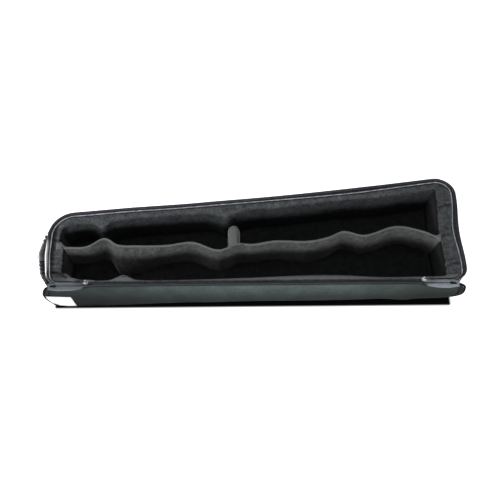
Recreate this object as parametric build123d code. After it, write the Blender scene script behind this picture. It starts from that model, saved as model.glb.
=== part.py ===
"""Soprano saxophone case: a soft zip case for a straight soprano, lying open on its back.

X runs along the case from the narrow end to the wide bell end, Y from the hinge side to the zip side, Z up.
z = 0 is the surface that the case lies on. The padded lid hangs over the hinge-side wall and its free half is
folded under the base, so the case rests on it. The origin is on that surface, in the middle of the flap's underside.
All sizes are millimetres.
"""

import math
import os

from build123d import *

os.makedirs("parts", exist_ok=True)

# Outline of the case, seen from above
LENGTH = 717.0
NARROW_WIDTH = 136.0
WIDE_WIDTH = 207.0
FAR_HOLLOW = 7.0  # how much the long zip side is drawn in at mid length
FAR_NARROW_RADIUS = 46.0
FAR_WIDE_RADIUS = 30.0
NEAR_NARROW_RADIUS = 22.0
NEAR_WIDE_RADIUS = 25.0
HINGE_Y = -45.0  # outer face of the hinge-side wall

# Heights and walls
RIM_Z = 85.0
LID_THICKNESS = 5.4
REST_GAP = 0.3
COVER = 1.2
CORE_WALL = 6.0
CORE_NEAR_WALL = 2.0
CORE_FLOOR = 5.0
BOTTOM_RADIUS = 8.0

# Rim: piping, zip tape and coil
PIPING = 5.0
PIPING_PROUD = 1.5
TAPE = 0.8
COIL = 2.0
BASE_COIL_INSET = 7.0
COIL_GAP = 0.3
LID_PIPING = 4.0
PIPING_END = 15.0  # the piping stops this far from the hinge side
COIL_NEAR = 2.6
TAPE_NEAR = 4.3

# Plush insert
BAND = 11.0  # rim band between the outer face and the plush
END_LAND_NARROW = 25.5
END_LAND_WIDE = 23.5
FAR_PLUSH = 9.0
NEAR_PLUSH = 5.8
PLUSH_FLOOR = 4.0
PLUSH_DROP = 1.5  # top of the plush below the rim plane
PLUSH_ROUND = 4.0
PLUSH_DRAFT = 1.5
CREST = 9.0  # thickness of the divider below its rounded crest
CROWN = 3.5  # thickness at the very top
CREST_DROP = 4.0
CREST_ROUND = 5.0
POST_PLACE = 291.0  # middle of the post from the narrow end of the pocket
POST_WIDTH = 21.0
POST_START = 75.0  # from the hinge side
POST_REACH = 116.0

# Hinge and fold of the lid
FLAP_GAP = 0.5
FABRIC = 0.8
LID_NEAR_INSET = 6.5
LID_SEAT = 0.3  # from the plush to the lining of the closed lid
PAD_INSET = 10.8  # thick middle of the lid
LIP_DROP = 2.6  # lip of the cover below the lid's outer face
KNUCKLE_GAP = 0.3

# Zip sliders
SLIDER_FROM_NARROW_END = 73.5
SLIDER_FROM_WIDE_END = 68.5
SLIDER_LENGTH = 11.0
SLIDER_WIDTH = 7.0
SLIDER_HEIGHT = 2.2
SLIDER_LIFT = 0.5
MOUTH_DEPTH = 1.0  # the slots that the zip tapes run through
MOUTH_Z = 0.7
MOUTH = 0.7
PIN = 1.2
PIN_LIFT = 1.5
CHEEK = 1.0
EYE_WIDTH = 2.4
EYE_FIT = 0.1
EYE_WALL = 0.6
TAB_LENGTH = 18.0
TAB_WIDTH = 6.0
TAB_THICKNESS = 1.2
TAB_START = 2.2  # from the pin
TAB_CORNER = 1.5
TAB_SLOT_START = 8.0
TAB_SLOT_WIDTH = 2.4
TAB_BAR = 3.0
TAB_CLEAR = 3.0  # from the tab to the hinge

# End handle
GRIP_THICKNESS = 10.0
GRIP_WIDTH = 22.0
GRIP_BOW = 16.5  # centre line of the grip outside the end wall
GRIP_LENGTH = 36.0
GRIP_ROUND = 4.2
HANDLE_Z = 50.0
STRIP_THICKNESS = 3.5
STRIP_WIDTH = 15.0
STRIP_BEND = 30.0
STRIP_REACH = 18.0  # the strip stops under the mounts, this far in from the end wall
KNEE = 8.0, 42.0  # where the strip turns in, out from the end wall and along it from the grip
FAR_WRAP = 22.0, 64.0  # ends of the strip on the two corners
NEAR_WRAP = 14.0, 60.0
RIB = 3.4
RIB_PITCH = 7.7
RIB_COUNT = 4
RIB_START = 5.8  # middle of the first rib beyond the smooth grip
MOUNT = 3.0
MOUNT_HEIGHT = 30.0
FAR_MOUNT_SPAN = 13.0, 40.0  # from the centre of the corner's rounding
NEAR_MOUNT_SPAN = -17.0, 6.0
RIVET = 5.0
RIVET_HEAD = 1.2
RIVET_SUNK = 0.3
FAR_RIVET = 143.0  # place of the rivets round each corner, in degrees
NEAR_RIVET = 200.0

# Carry strap on the zip side
STRAP_WIDTH = 25.0
STRAP = 1.8
STRAP_SPAN = 337.0
STRAP_X = -31.0
STRAP_PATCH = 42.0
STRAP_BOW = 9.0
SLEEVE_LENGTH = 110.0
SLEEVE = 2.0
WALL_FIT = 0.1

# Blank label on the lid
LABEL_WIDTH = 36.0
LABEL_HEIGHT = 37.0
LABEL = 0.4
LABEL_RISE = 5.0

# Heights that follow
BASE_Z = LID_THICKNESS + REST_GAP
CORE_Z = BASE_Z + COVER
FLOOR_Z = CORE_Z + CORE_FLOOR
POCKET_Z = FLOOR_Z + PLUSH_FLOOR
PIPING_Z = RIM_Z - PIPING / 2
WALL_TOP_Z = RIM_Z - PIPING
TAPE_TOP_Z = RIM_Z - 0.1 - COIL
TAPE_Z = TAPE_TOP_Z - TAPE
PLUSH_TOP_Z = RIM_Z - PLUSH_DROP
LINING_Z = PLUSH_TOP_Z + LID_SEAT
LID_MID_Z = LINING_Z + LID_THICKNESS / 2
LID_TOP_Z = LINING_Z + LID_THICKNESS
CORE_INSET = COVER + CORE_WALL
CORE_NEAR_INSET = COVER + CORE_NEAR_WALL
PIPING_INSET = PIPING / 2 - PIPING_PROUD
PIPING_INNER = PIPING_INSET + PIPING / 2 + 0.1
PIPING_NEAR_INSET = PIPING / 2 + 0.2
LID_COIL_INSET = BASE_COIL_INSET + COIL + COIL_GAP

# The lid turns about this line at the top of the hinge-side wall, and folds about the other one
AXIS_Y = HINGE_Y - FLAP_GAP / 2
AXIS_Z = LID_TOP_Z + FLAP_GAP / 2
FOLD_CLOSED_Y = AXIS_Y + AXIS_Z - LID_THICKNESS / 2
FOLD_Y = AXIS_Y + LID_MID_Z - AXIS_Z
FOLD_Z = LID_THICKNESS / 2

# Centre of the big arc of the zip side
FAR_START = Vector(-LENGTH / 2, HINGE_Y + NARROW_WIDTH)
FAR_CHORD = Vector(LENGTH / 2, HINGE_Y + WIDE_WIDTH) - FAR_START
FAR_RADIUS = (FAR_CHORD.length**2 / 4 + FAR_HOLLOW**2) / (2 * FAR_HOLLOW)
FAR_CENTRE = FAR_START + FAR_CHORD / 2 + Vector(-FAR_CHORD.Y, FAR_CHORD.X).normalized() * (FAR_RADIUS - FAR_HOLLOW)


def far_y(x, inset=0.0):
    """Y of the long zip side at x, moved in by inset."""
    return FAR_CENTRE.Y - math.sqrt((FAR_RADIUS + inset) ** 2 - (x - FAR_CENTRE.X) ** 2)


def rounded(face, corners):
    """Round the corners of a face: each is (x, y, radius)."""
    for x, y, radius in corners:
        near = face.vertices().sort_by_distance((x, y, 0))[0]
        face = fillet(near, radius)
    return face


def plan(inset=0.0, near_inset=None):
    """The outline of the case as a face, moved in by inset, and by near_inset on the hinge side."""
    near = HINGE_Y + (inset if near_inset is None else near_inset)
    left, right = -LENGTH / 2 + inset, LENGTH / 2 - inset
    far_left, far_mid, far_right = ((x, far_y(x, inset)) for x in (left, 0.0, right))
    sides = [
        Line((left, near), (right, near)),
        Line((right, near), far_right),
        ThreePointArc(far_right, far_mid, far_left),
        Line(far_left, (left, near)),
    ]
    corners = [
        (*far_left, FAR_NARROW_RADIUS - inset),
        (*far_right, FAR_WIDE_RADIUS - inset),
        (left, near, NEAR_NARROW_RADIUS - inset),
        (right, near, NEAR_WIDE_RADIUS - inset),
    ]
    return rounded(make_face(sides), corners)


def slab(face, bottom, top):
    """A flat face made into a plate between two heights."""
    return extrude(Pos(0, 0, bottom) * face, top - bottom)


def block(x0, x1, y0, y1, z0, z1):
    """A box between two corners."""
    return Pos((x0 + x1) / 2, (y0 + y1) / 2, (z0 + z1) / 2) * Box(x1 - x0, y1 - y0, z1 - z0)


def rim_path(inset, near_inset, z):
    """The three zip sides of the outline as one open wire, from corner to corner of the hinge side."""
    edges = plan(inset, near_inset).edges().sort_by(Axis.Y)[1:]
    return Pos(0, 0, z) * Wire(edges)


def cord_along(path, diameter):
    """A round cord along a wire."""
    return sweep(Plane(origin=path @ 0, z_dir=path % 0) * Circle(diameter / 2), path)


def keep(part, name, colour):
    """Write one sub-part."""
    part.label = name
    part.color = Color(colour)
    export_step(part, f"parts/{name}.step")
    return part


# Outer cover: nylon shell with rounded bottom edges, and a lip that carries the lid between the zip's ends
SLIDER_LEFT_X = -LENGTH / 2 + SLIDER_FROM_NARROW_END
SLIDER_RIGHT_X = LENGTH / 2 - SLIDER_FROM_WIDE_END
HINGE_LEFT = SLIDER_LEFT_X + TAB_LENGTH + TAB_CLEAR
HINGE_RIGHT = SLIDER_RIGHT_X - TAB_LENGTH - TAB_CLEAR


def tray(inset, near_inset, bottom, top, radius):
    """A plate of the outline with its lower edge rounded."""
    body = slab(plan(inset, near_inset), bottom, top)
    return fillet(body.faces().sort_by(Axis.Z)[0].edges(), radius)


cover = tray(0, 0, BASE_Z, WALL_TOP_Z, BOTTOM_RADIUS)
cover -= tray(COVER, COVER, CORE_Z, WALL_TOP_Z + 1, BOTTOM_RADIUS - COVER)
LIP_TOP_Z = LID_TOP_Z - LIP_DROP
raised = slab(plan(0), WALL_TOP_Z, TAPE_Z) - slab(plan(COVER), WALL_TOP_Z, TAPE_Z)
near_side = block(-LENGTH, LENGTH, HINGE_Y - 1, HINGE_Y + PIPING_END, 0, 2 * RIM_Z)
cover += raised & near_side
cover += block(HINGE_LEFT, HINGE_RIGHT, HINGE_Y, HINGE_Y + COVER, TAPE_Z, LIP_TOP_Z)
keep(cover, "outer_cover", "gray20")

# Foam core: the stiff board shell inside the cover
core = tray(COVER, COVER, CORE_Z, WALL_TOP_Z, BOTTOM_RADIUS - COVER)
core -= slab(plan(CORE_INSET, CORE_NEAR_INSET), FLOOR_Z, WALL_TOP_Z + 1)
keep(core, "foam_core", "khaki")

# Plush insert: the lined block with the long pocket that the divider splits
POCKET_LEFT = -LENGTH / 2 + BAND + END_LAND_NARROW
POCKET_RIGHT = LENGTH / 2 - BAND - END_LAND_WIDE
NEAR_FACE_Y = HINGE_Y + CORE_NEAR_INSET + NEAR_PLUSH

# The wavy faces are drawn by their distance from the narrow end of the pocket, and follow its length.
# The plush of the zip side swells inwards beside the neck end and at mid length.
DRAWN_LENGTH = 646.0
far_swell = [
    (646, 0), (557, 2), (472, -2), (392, 2), (322, 1), (294, 6), (273, 14), (250, 3), (172, 0),
    (94, 1), (75, 5), (57, 17), (39, 5), (22, 2), (0, 4)]
# The roll along the hinge side has a hump at the neck and a thick corner at the narrow end
near_swell = [
    (0, 12), (16, 4), (37, 0), (77, 0), (101, 9), (122, 0), (202, -1), (322, 2), (447, 6), (542, 1), (646, 2)]


def along(distance, widen=0.0):
    """X of a drawn distance from the narrow end, in a pocket that is made wider all round."""
    length = POCKET_RIGHT - POCKET_LEFT + 2 * widen
    return POCKET_LEFT - widen + distance * length / DRAWN_LENGTH


def pocket_section(z, widen):
    """The outline of the pocket at one level, made wider all round."""
    near = [(along(d, widen), NEAR_FACE_Y + swell - widen) for d, swell in near_swell]
    far = [(along(d, widen), far_y(along(d), BAND + FAR_PLUSH) - swell + widen) for d, swell in far_swell]
    outline = [Spline(near), Line(near[-1], far[0]), Spline(far), Line(far[-1], near[0])]
    return Pos(0, 0, z) * make_face(outline)


def pocket_cut(*levels):
    """The hollow between levels of the pocket."""
    return loft([pocket_section(z, widen) for z, widen in levels])


insert = slab(plan(CORE_INSET, CORE_NEAR_INSET), FLOOR_Z, PLUSH_TOP_Z)
insert -= pocket_cut((POCKET_Z, -PLUSH_DRAFT), (PLUSH_TOP_Z - PLUSH_ROUND, 0.0))
insert -= pocket_cut((PLUSH_TOP_Z - PLUSH_ROUND, 0.0), (PLUSH_TOP_Z - 0.3 * PLUSH_ROUND, 0.3 * PLUSH_ROUND),
                     (PLUSH_TOP_Z, PLUSH_ROUND))
piping = cord_along(rim_path(PIPING_INSET, PIPING_NEAR_INSET, PIPING_Z), PIPING) - near_side
band = slab(plan(CORE_INSET - 1, CORE_NEAR_INSET - 1), TAPE_Z, RIM_Z)
band -= slab(plan(BAND, BAND), TAPE_Z, RIM_Z)
band -= block(HINGE_LEFT, HINGE_RIGHT, HINGE_Y, HINGE_Y + 2 * BAND, TAPE_Z, RIM_Z)
insert -= band + piping
keep(insert, "plush_insert", "gray40")

# Divider: the wavy padded wall between the long pocket and the two small ones. It is a loft from its
# foot, which swells into the long pocket to cradle the instrument, up to a thin rounded crest. Its middle line is
# drawn by distances from the narrow end of the pocket and from the hinge side.
crest_line = [
    (0, 75), (32, 77), (62, 93), (86, 76), (117, 73), (172, 75), (216, 80), (262, 64), (294, 77),
    (322, 75), (362, 84), (417, 82), (452, 90), (482, 103), (518, 95), (574, 112), (622, 102), (646, 89)]
foot_swell = [0, 0, 12, 24, 20, 1, 4, 6, 5, 1, 4, 8, 5, 3, 4, 4, 1, 1]


def divider_section(z, thickness, swell):
    """One level of the divider: its near side is moved by swell times the foot's."""
    line = [(along(d), HINGE_Y + rise) for d, rise in crest_line]
    near = [(x, y - thickness / 2 - swell * foot) for (x, y), foot in zip(line, foot_swell)]
    far = [(x, y + thickness / 2) for x, y in line]
    outline = [Spline(near), Line(near[-1], far[-1]), Spline(far[::-1]), Line(far[0], near[0])]
    return Pos(0, 0, z) * make_face(outline)


CREST_Z = RIM_Z - CREST_DROP
levels = [
    (POCKET_Z, CREST, 1.0),
    (POCKET_Z + 0.5 * (CREST_Z - POCKET_Z), CREST, 0.55),
    (CREST_Z - CREST_ROUND, CREST, 0.0),
    (CREST_Z, CROWN, 0.0),
]
divider = loft([divider_section(*level) for level in levels[:3]]) + loft(
    [divider_section(*level) for level in levels[2:]])

# Cross post: the short wall from the divider towards the zip side, with a round end
post_x, post_start, post_end = along(POST_PLACE), HINGE_Y + POST_START, HINGE_Y + POST_REACH - POST_WIDTH / 2
post_face = Pos(post_x, (post_start + post_end) / 2) * Rectangle(POST_WIDTH, post_end - post_start)
post_face += Pos(post_x, post_end) * Circle(POST_WIDTH / 2)
post = slab(post_face, POCKET_Z, CREST_Z)
post = fillet(post.faces().sort_by(Axis.Z)[-1].edges(), CREST_ROUND)
post -= divider
divider -= insert
keep(divider, "divider_wall", "gray55")
keep(post.solids().sort_by(SortBy.VOLUME)[-1], "cross_post", "gray60")

# Rim: piping on the outer edge, then the zip tape and its coil, which run on to the sliders
keep(piping, "rim_piping", "gray30")

tape = slab(plan(PIPING_INNER, 0), TAPE_Z, TAPE_TOP_Z)
tape -= slab(plan(BASE_COIL_INSET + COIL / 4, TAPE_NEAR), TAPE_Z, TAPE_TOP_Z)
tape -= block(SLIDER_LEFT_X, SLIDER_RIGHT_X, HINGE_Y - 1, HINGE_Y + 2 * BAND, TAPE_Z, TAPE_TOP_Z)
tape -= piping
keep(tape, "rim_zip_tape", "slategray")


def coil_run(start, end):
    """A straight stretch of coil beside the hinge."""
    section = Plane(origin=(start, HINGE_Y + COIL_NEAR, TAPE_TOP_Z + COIL / 2), z_dir=(1, 0, 0)) * Circle(COIL / 2)
    return extrude(section, end - start)


coil = cord_along(rim_path(BASE_COIL_INSET, COIL_NEAR, TAPE_TOP_Z + COIL / 2), COIL)
coil += coil_run(-LENGTH / 2 + NEAR_NARROW_RADIUS, SLIDER_LEFT_X)
coil += coil_run(SLIDER_RIGHT_X, LENGTH / 2 - NEAR_WIDE_RADIUS)
keep(coil, "rim_zip_coil", "lightgray")


# Lid: every layer is modelled closed over the rim, cut in two at the fold, and each half is laid where it rests
def at_hinge(part):
    """The closed front half, swung back until it hangs on the hinge-side wall."""
    return Pos(0, AXIS_Y, AXIS_Z) * Rot(-90, 0, 0) * Pos(0, -AXIS_Y, -AXIS_Z) * part


def under_base(part):
    """The closed back half, moved to lie under the base."""
    return Pos(0, FOLD_Y - FOLD_CLOSED_Y, FOLD_Z - LID_MID_Z) * part


def knuckle(radius):
    """A round bar along the fold."""
    return Pos(0, FOLD_CLOSED_Y, LID_MID_Z) * Rot(0, 90, 0) * Cylinder(radius, 2 * LENGTH)


front_side = block(-LENGTH, LENGTH, -LENGTH, FOLD_CLOSED_Y, 0, 2 * RIM_Z) + knuckle(LID_THICKNESS / 2)
back_side = block(-LENGTH, LENGTH, FOLD_CLOSED_Y + KNUCKLE_GAP, LENGTH, 0, 2 * RIM_Z)
back_side -= knuckle(LID_THICKNESS / 2 + KNUCKLE_GAP)
back_side -= block(-LENGTH, LENGTH, 0, FOLD_CLOSED_Y + LID_THICKNESS / 2 + KNUCKLE_GAP, LID_MID_Z, 2 * RIM_Z)


def lid_layer(layer, name, colour):
    """Write both halves of a closed layer."""
    keep(at_hinge(layer & front_side), f"front_{name}", colour)
    keep(under_base(layer & back_side), f"back_{name}", colour)


LID_PIPING_INSET = LID_PIPING / 2 - PIPING_PROUD
LID_EDGE = LID_PIPING_INSET + LID_PIPING / 2 + 0.1
LID_TAPE_Z = LINING_Z + COIL
LID_TAPE_TOP_Z = LID_TAPE_Z + TAPE
lid_face = plan(LID_EDGE, LID_NEAR_INSET)
pad_face = plan(PAD_INSET, PAD_INSET)
hinge_zone = block(HINGE_LEFT, HINGE_RIGHT, HINGE_Y + LID_NEAR_INSET, HINGE_Y + 2 * BAND, LINING_Z, LID_TAPE_TOP_Z)

lid_layer(slab(lid_face, LID_TOP_Z - FABRIC, LID_TOP_Z), "nylon", "gray25")
hinge_cloth = block(HINGE_LEFT, HINGE_RIGHT, AXIS_Y + FABRIC, HINGE_Y + LID_NEAR_INSET, LID_TOP_Z - FABRIC, LID_TOP_Z)
keep(at_hinge(hinge_cloth), "hinge_strip", "gray20")

thick = slab(pad_face, LINING_Z, LID_TAPE_TOP_Z) + hinge_zone
skin = block(-LENGTH, LENGTH, -LENGTH, LENGTH, LINING_Z - 1, LINING_Z + FABRIC)
pad = slab(lid_face, LID_TAPE_TOP_Z, LID_TOP_Z - FABRIC) + (thick - skin)
lid_layer(pad, "pad", "khaki")

label_left = -LENGTH / 2 + PAD_INSET + FABRIC
label_top = AXIS_Y + AXIS_Z - LABEL_RISE
label = block(label_left, label_left + LABEL_WIDTH, label_top - LABEL_HEIGHT, label_top, LINING_Z, LINING_Z + LABEL)
lid_layer((thick & skin) - label, "lining", "darkslategray")
keep(at_hinge(label), "blank_label", "white")

lid_near = block(-LENGTH, LENGTH, -LENGTH, HINGE_Y + PIPING_END, 0, 2 * RIM_Z)
lid_piping = cord_along(rim_path(LID_PIPING_INSET, LID_NEAR_INSET, LINING_Z + LID_THICKNESS - LID_PIPING / 2), LID_PIPING)
lid_layer(lid_piping - lid_near - slab(lid_face, LINING_Z, LID_TOP_Z), "piping", "gray30")

lid_tape = slab(lid_face, LID_TAPE_Z, LID_TAPE_TOP_Z)
lid_tape -= slab(plan(LID_COIL_INSET + COIL / 4, LID_COIL_INSET + COIL / 4), LID_TAPE_Z, LID_TAPE_TOP_Z)
lid_tape -= hinge_zone
lid_layer(lid_tape, "zip_tape", "slategray")
lid_coil = cord_along(rim_path(LID_COIL_INSET, LID_COIL_INSET, LINING_Z + COIL / 2), COIL)
lid_layer(lid_coil, "zip_coil", "lightgray")

# Zip sliders, parked at the two ends of the zip, each with a pull tab on a pin
SLIDER_Y = HINGE_Y + COIL_NEAR
SLIDER_Z = RIM_Z - 0.1 + SLIDER_LIFT
SLIDER_TOP_Z = SLIDER_Z + SLIDER_HEIGHT
PIN_Z = SLIDER_TOP_Z + PIN_LIFT


def along_y(radius, width):
    """A round bar across the zip, on the pin's line."""
    return Rot(90, 0, 0) * Cylinder(radius, width)


def slider_parts(x, outwards):
    """A slider and its tab. outwards is the way that the tab points, -1 or 1."""
    nose = Polygon((-0.5, 0.3), (-0.5, -0.3), (-0.1, -0.5), (0.5, -0.32), (0.5, 0.32), (-0.1, 0.5), align=None)
    body = slab(scale(nose, by=(SLIDER_LENGTH, SLIDER_WIDTH, 1)), 0, SLIDER_HEIGHT)
    for side in (-1, 1):
        slot_y = side * SLIDER_WIDTH / 2
        body -= block(
            -SLIDER_LENGTH, SLIDER_LENGTH, slot_y - MOUTH_DEPTH, slot_y + MOUTH_DEPTH, MOUTH_Z, MOUTH_Z + MOUTH)
        cheek_y = side * (EYE_WIDTH / 2 + EYE_FIT + CHEEK / 2)
        body += Pos(0, cheek_y, SLIDER_HEIGHT + PIN_LIFT) * along_y(PIN, CHEEK)
        body += block(-PIN, PIN, cheek_y - CHEEK / 2, cheek_y + CHEEK / 2, SLIDER_HEIGHT - 0.1, SLIDER_HEIGHT + PIN_LIFT)
    body += Pos(0, 0, SLIDER_HEIGHT + PIN_LIFT) * along_y(PIN / 2, EYE_WIDTH + 2 * EYE_FIT)
    tab = block(TAB_START, TAB_LENGTH, -TAB_WIDTH / 2, TAB_WIDTH / 2, -TAB_THICKNESS / 2, TAB_THICKNESS / 2)
    tab = fillet(tab.edges().filter_by(Axis.Z), TAB_CORNER)
    tab -= block(
        TAB_SLOT_START, TAB_LENGTH - TAB_BAR, -TAB_SLOT_WIDTH / 2, TAB_SLOT_WIDTH / 2, -TAB_THICKNESS, TAB_THICKNESS)
    tab += block(0, TAB_BAR, -EYE_WIDTH / 2, EYE_WIDTH / 2, -TAB_THICKNESS / 2, TAB_THICKNESS / 2)
    tab += along_y(PIN / 2 + EYE_WALL, EYE_WIDTH)
    tab -= along_y(PIN / 2 + EYE_FIT, 2 * EYE_WIDTH)
    turn = Rot(0, 0, 0 if outwards > 0 else 180)
    return (Pos(x, SLIDER_Y, SLIDER_Z) * turn * body, Pos(x, SLIDER_Y, PIN_Z) * turn * tab)


for side, x, outwards in (("left", SLIDER_LEFT_X, -1), ("right", SLIDER_RIGHT_X, 1)):
    slider, tab = slider_parts(x, outwards)
    keep(slider, f"{side}_zip_slider", "silver")
    keep(tab, f"{side}_pull_tab", "silver")

# End handle: a moulded grip with flexing ribs over a flat strip, which ends in two riveted mounts that wrap the
# corners of the narrow end
END_X = -LENGTH / 2
FAR_CORNER = (END_X + FAR_NARROW_RADIUS, far_y(END_X + FAR_NARROW_RADIUS, FAR_NARROW_RADIUS))
NEAR_CORNER = (END_X + NEAR_NARROW_RADIUS, HINGE_Y + NEAR_NARROW_RADIUS)
GRIP_X = END_X - GRIP_BOW
GRIP_Y = (FAR_CORNER[1] + NEAR_CORNER[1] + FAR_NARROW_RADIUS - NEAR_NARROW_RADIUS) / 2
handle_path = FilletPolyline(
    (END_X + FAR_WRAP[0], GRIP_Y + FAR_WRAP[1]), (END_X - KNEE[0], GRIP_Y + KNEE[1]), (GRIP_X, GRIP_Y),
    (END_X - KNEE[0], GRIP_Y - KNEE[1]), (END_X + NEAR_WRAP[0], GRIP_Y - NEAR_WRAP[1]), radius=STRIP_BEND)


def across(position):
    """The plane square to the handle's line at a part of its length."""
    return Plane(origin=handle_path @ position, x_dir=(0, 0, 1), z_dir=handle_path % position)


def rib_at(position):
    """One rib of the moulding, centred on the line of the handle."""
    section = across(position).offset(-RIB / 2) * RectangleRounded(GRIP_WIDTH, GRIP_THICKNESS, GRIP_ROUND)
    return Pos(0, 0, HANDLE_Z) * extrude(section, RIB)


mount_ring = slab(plan(-MOUNT), HANDLE_Z - MOUNT_HEIGHT / 2, HANDLE_Z + MOUNT_HEIGHT / 2)
mount_ring -= slab(plan(0), HANDLE_Z - MOUNT_HEIGHT / 2, HANDLE_Z + MOUNT_HEIGHT / 2)
strip = Pos(0, 0, HANDLE_Z) * sweep(across(0) * Rectangle(STRIP_WIDTH, STRIP_THICKNESS), handle_path)
strip -= slab(plan(-MOUNT), 0, RIM_Z) + block(END_X + STRIP_REACH, 0, -LENGTH, LENGTH, 0, RIM_Z)
keep(strip, "handle_strip", "gray15")

grip_half = GRIP_LENGTH / 2 / handle_path.length
grip_line = handle_path.trim(0.5 - grip_half, 0.5 + grip_half)
grip_section = Plane(origin=grip_line @ 0, x_dir=(0, 0, 1), z_dir=grip_line % 0)
grip = Pos(0, 0, HANDLE_Z) * sweep(grip_section * RectangleRounded(GRIP_WIDTH, GRIP_THICKNESS, GRIP_ROUND), grip_line)
ribs = []
for count in range(RIB_COUNT):
    step = (GRIP_LENGTH / 2 + RIB_START + RIB_PITCH * count) / handle_path.length
    for position in (0.5 - step, 0.5 + step):
        ribs.append(rib_at(position) - strip - mount_ring)
keep(grip - strip, "handle_grip", "gray20")
keep(Compound(children=[Compound(rib.solids()) for rib in ribs]), "handle_ribs", "gray20")

far_span, near_span = (FAR_CORNER[1] + s for s in FAR_MOUNT_SPAN), (NEAR_CORNER[1] + s for s in NEAR_MOUNT_SPAN)
far_mount = mount_ring & block(END_X - 2 * MOUNT, 0, *far_span, 0, RIM_Z)
near_mount = mount_ring & block(END_X - 2 * MOUNT, 0, *near_span, 0, RIM_Z)
keep(far_mount, "handle_far_mount", "gray30")
keep(near_mount, "handle_near_mount", "gray30")

rivets = []
rivet_rows = ((FAR_CORNER, FAR_NARROW_RADIUS, FAR_RIVET), (NEAR_CORNER, NEAR_NARROW_RADIUS, NEAR_RIVET))
for (x, y), radius, angle in rivet_rows:
    ray = Vector(math.cos(math.radians(angle)), math.sin(math.radians(angle)))
    for z in (-1, 1):
        seat = Vector(x, y, HANDLE_Z + z * (MOUNT_HEIGHT - 1.6 * RIVET) / 2) + ray * (radius + MOUNT - RIVET_SUNK)
        head = Plane(origin=seat, z_dir=ray) * Pos(0, 0, RIVET_HEAD / 2) * Cylinder(RIVET / 2, RIVET_HEAD)
        rivets.append(head - mount_ring)
keep(Compound(children=[Compound(rivet.solids()) for rivet in rivets]), "handle_rivets", "silver")

# Carry strap on the zip side: webbing sewn flat at both ends, with a padded sleeve where the hand goes
STRAP_Z = (BASE_Z + RIM_Z) / 2


def strap_line(offset, start, end):
    """Points of the strap between two places along the case: it bows away from the wall between its sewn ends."""
    points = []
    for step in range(9):
        x = start + (end - start) * step / 8
        free = STRAP_SPAN / 2 - STRAP_PATCH
        reach = max(0.0, 1 - (abs(x - STRAP_X) / free) ** 2)
        points.append((x, far_y(x) + WALL_FIT + STRAP_BOW * reach**2 + offset))
    return points


def strap_slab(start, end, inner, outer, height):
    """A length of the strap between two offsets."""
    near, far = strap_line(inner, start, end), strap_line(outer, start, end)
    face = make_face([Spline(near), Line(near[-1], far[-1]), Spline(far[::-1]), Line(far[0], near[0])])
    return slab(face, STRAP_Z - height / 2, STRAP_Z + height / 2)


strap_ends = STRAP_X - STRAP_SPAN / 2, STRAP_X + STRAP_SPAN / 2
strap = strap_slab(*strap_ends, 0, STRAP, STRAP_WIDTH) - slab(plan(0), 0, RIM_Z)
keep(strap, "carry_strap", "gray15")
sleeve_ends = STRAP_X - SLEEVE_LENGTH / 2, STRAP_X + SLEEVE_LENGTH / 2
sleeve = strap_slab(*sleeve_ends, -SLEEVE, STRAP + SLEEVE, STRAP_WIDTH + 2 * SLEEVE)
sleeve -= strap
keep(sleeve, "carry_sleeve", "gray25")
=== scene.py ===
"""Soprano saxophone case, lying open on its back: the looks of a soft zip case, made around its CAD frame.

Lengths in the sections are millimetres, as on the maker's drawing, and each mesh is made in metres. X runs from the
narrow end to the wide bell end, Y from the hinge side to the zip side, Z up from the table.
"""

import math

import bmesh
import bpy
from mathutils import Matrix, Vector, noise


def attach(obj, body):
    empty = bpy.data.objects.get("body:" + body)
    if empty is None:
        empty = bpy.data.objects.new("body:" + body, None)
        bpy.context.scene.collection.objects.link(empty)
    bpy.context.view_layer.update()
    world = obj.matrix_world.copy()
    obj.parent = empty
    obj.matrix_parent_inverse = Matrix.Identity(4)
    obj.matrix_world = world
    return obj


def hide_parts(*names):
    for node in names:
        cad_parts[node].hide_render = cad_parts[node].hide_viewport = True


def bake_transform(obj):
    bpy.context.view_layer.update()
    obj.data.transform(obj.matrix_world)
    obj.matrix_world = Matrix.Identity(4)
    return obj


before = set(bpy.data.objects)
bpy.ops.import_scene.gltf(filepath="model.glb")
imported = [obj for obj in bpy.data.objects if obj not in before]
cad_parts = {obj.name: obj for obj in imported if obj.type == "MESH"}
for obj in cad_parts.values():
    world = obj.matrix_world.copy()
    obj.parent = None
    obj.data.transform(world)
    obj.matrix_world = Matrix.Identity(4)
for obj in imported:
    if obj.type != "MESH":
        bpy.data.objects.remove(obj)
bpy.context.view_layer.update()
scene = bpy.context.scene
scene.view_settings.view_transform = "Standard"

# Photographer's table: a white sweep, a camera on a stand above the hinge side, and soft lamps.
# The sweep shows white to the camera, and its colour is painted dark under the case as a shadow.
CAMERA_AT = (-5.5, -554.1, 1229.5)
CAMERA_TILT, CAMERA_ROLL = 26.5, -0.5
FOCAL_LENGTH, FILM_WIDTH = 53.28, 36

camera = bpy.data.objects.new("camera", bpy.data.cameras.new("camera"))
camera.data.lens = FOCAL_LENGTH
camera.data.sensor_width = FILM_WIDTH
camera.data.clip_start = 0.01
camera.matrix_world = (
    Matrix.Translation(Vector(CAMERA_AT) / 1000)
    @ Matrix.Rotation(math.radians(CAMERA_TILT), 4, "X")
    @ Matrix.Rotation(math.radians(CAMERA_ROLL), 4, "Z")
)
scene.collection.objects.link(camera)
scene.camera = camera


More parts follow.
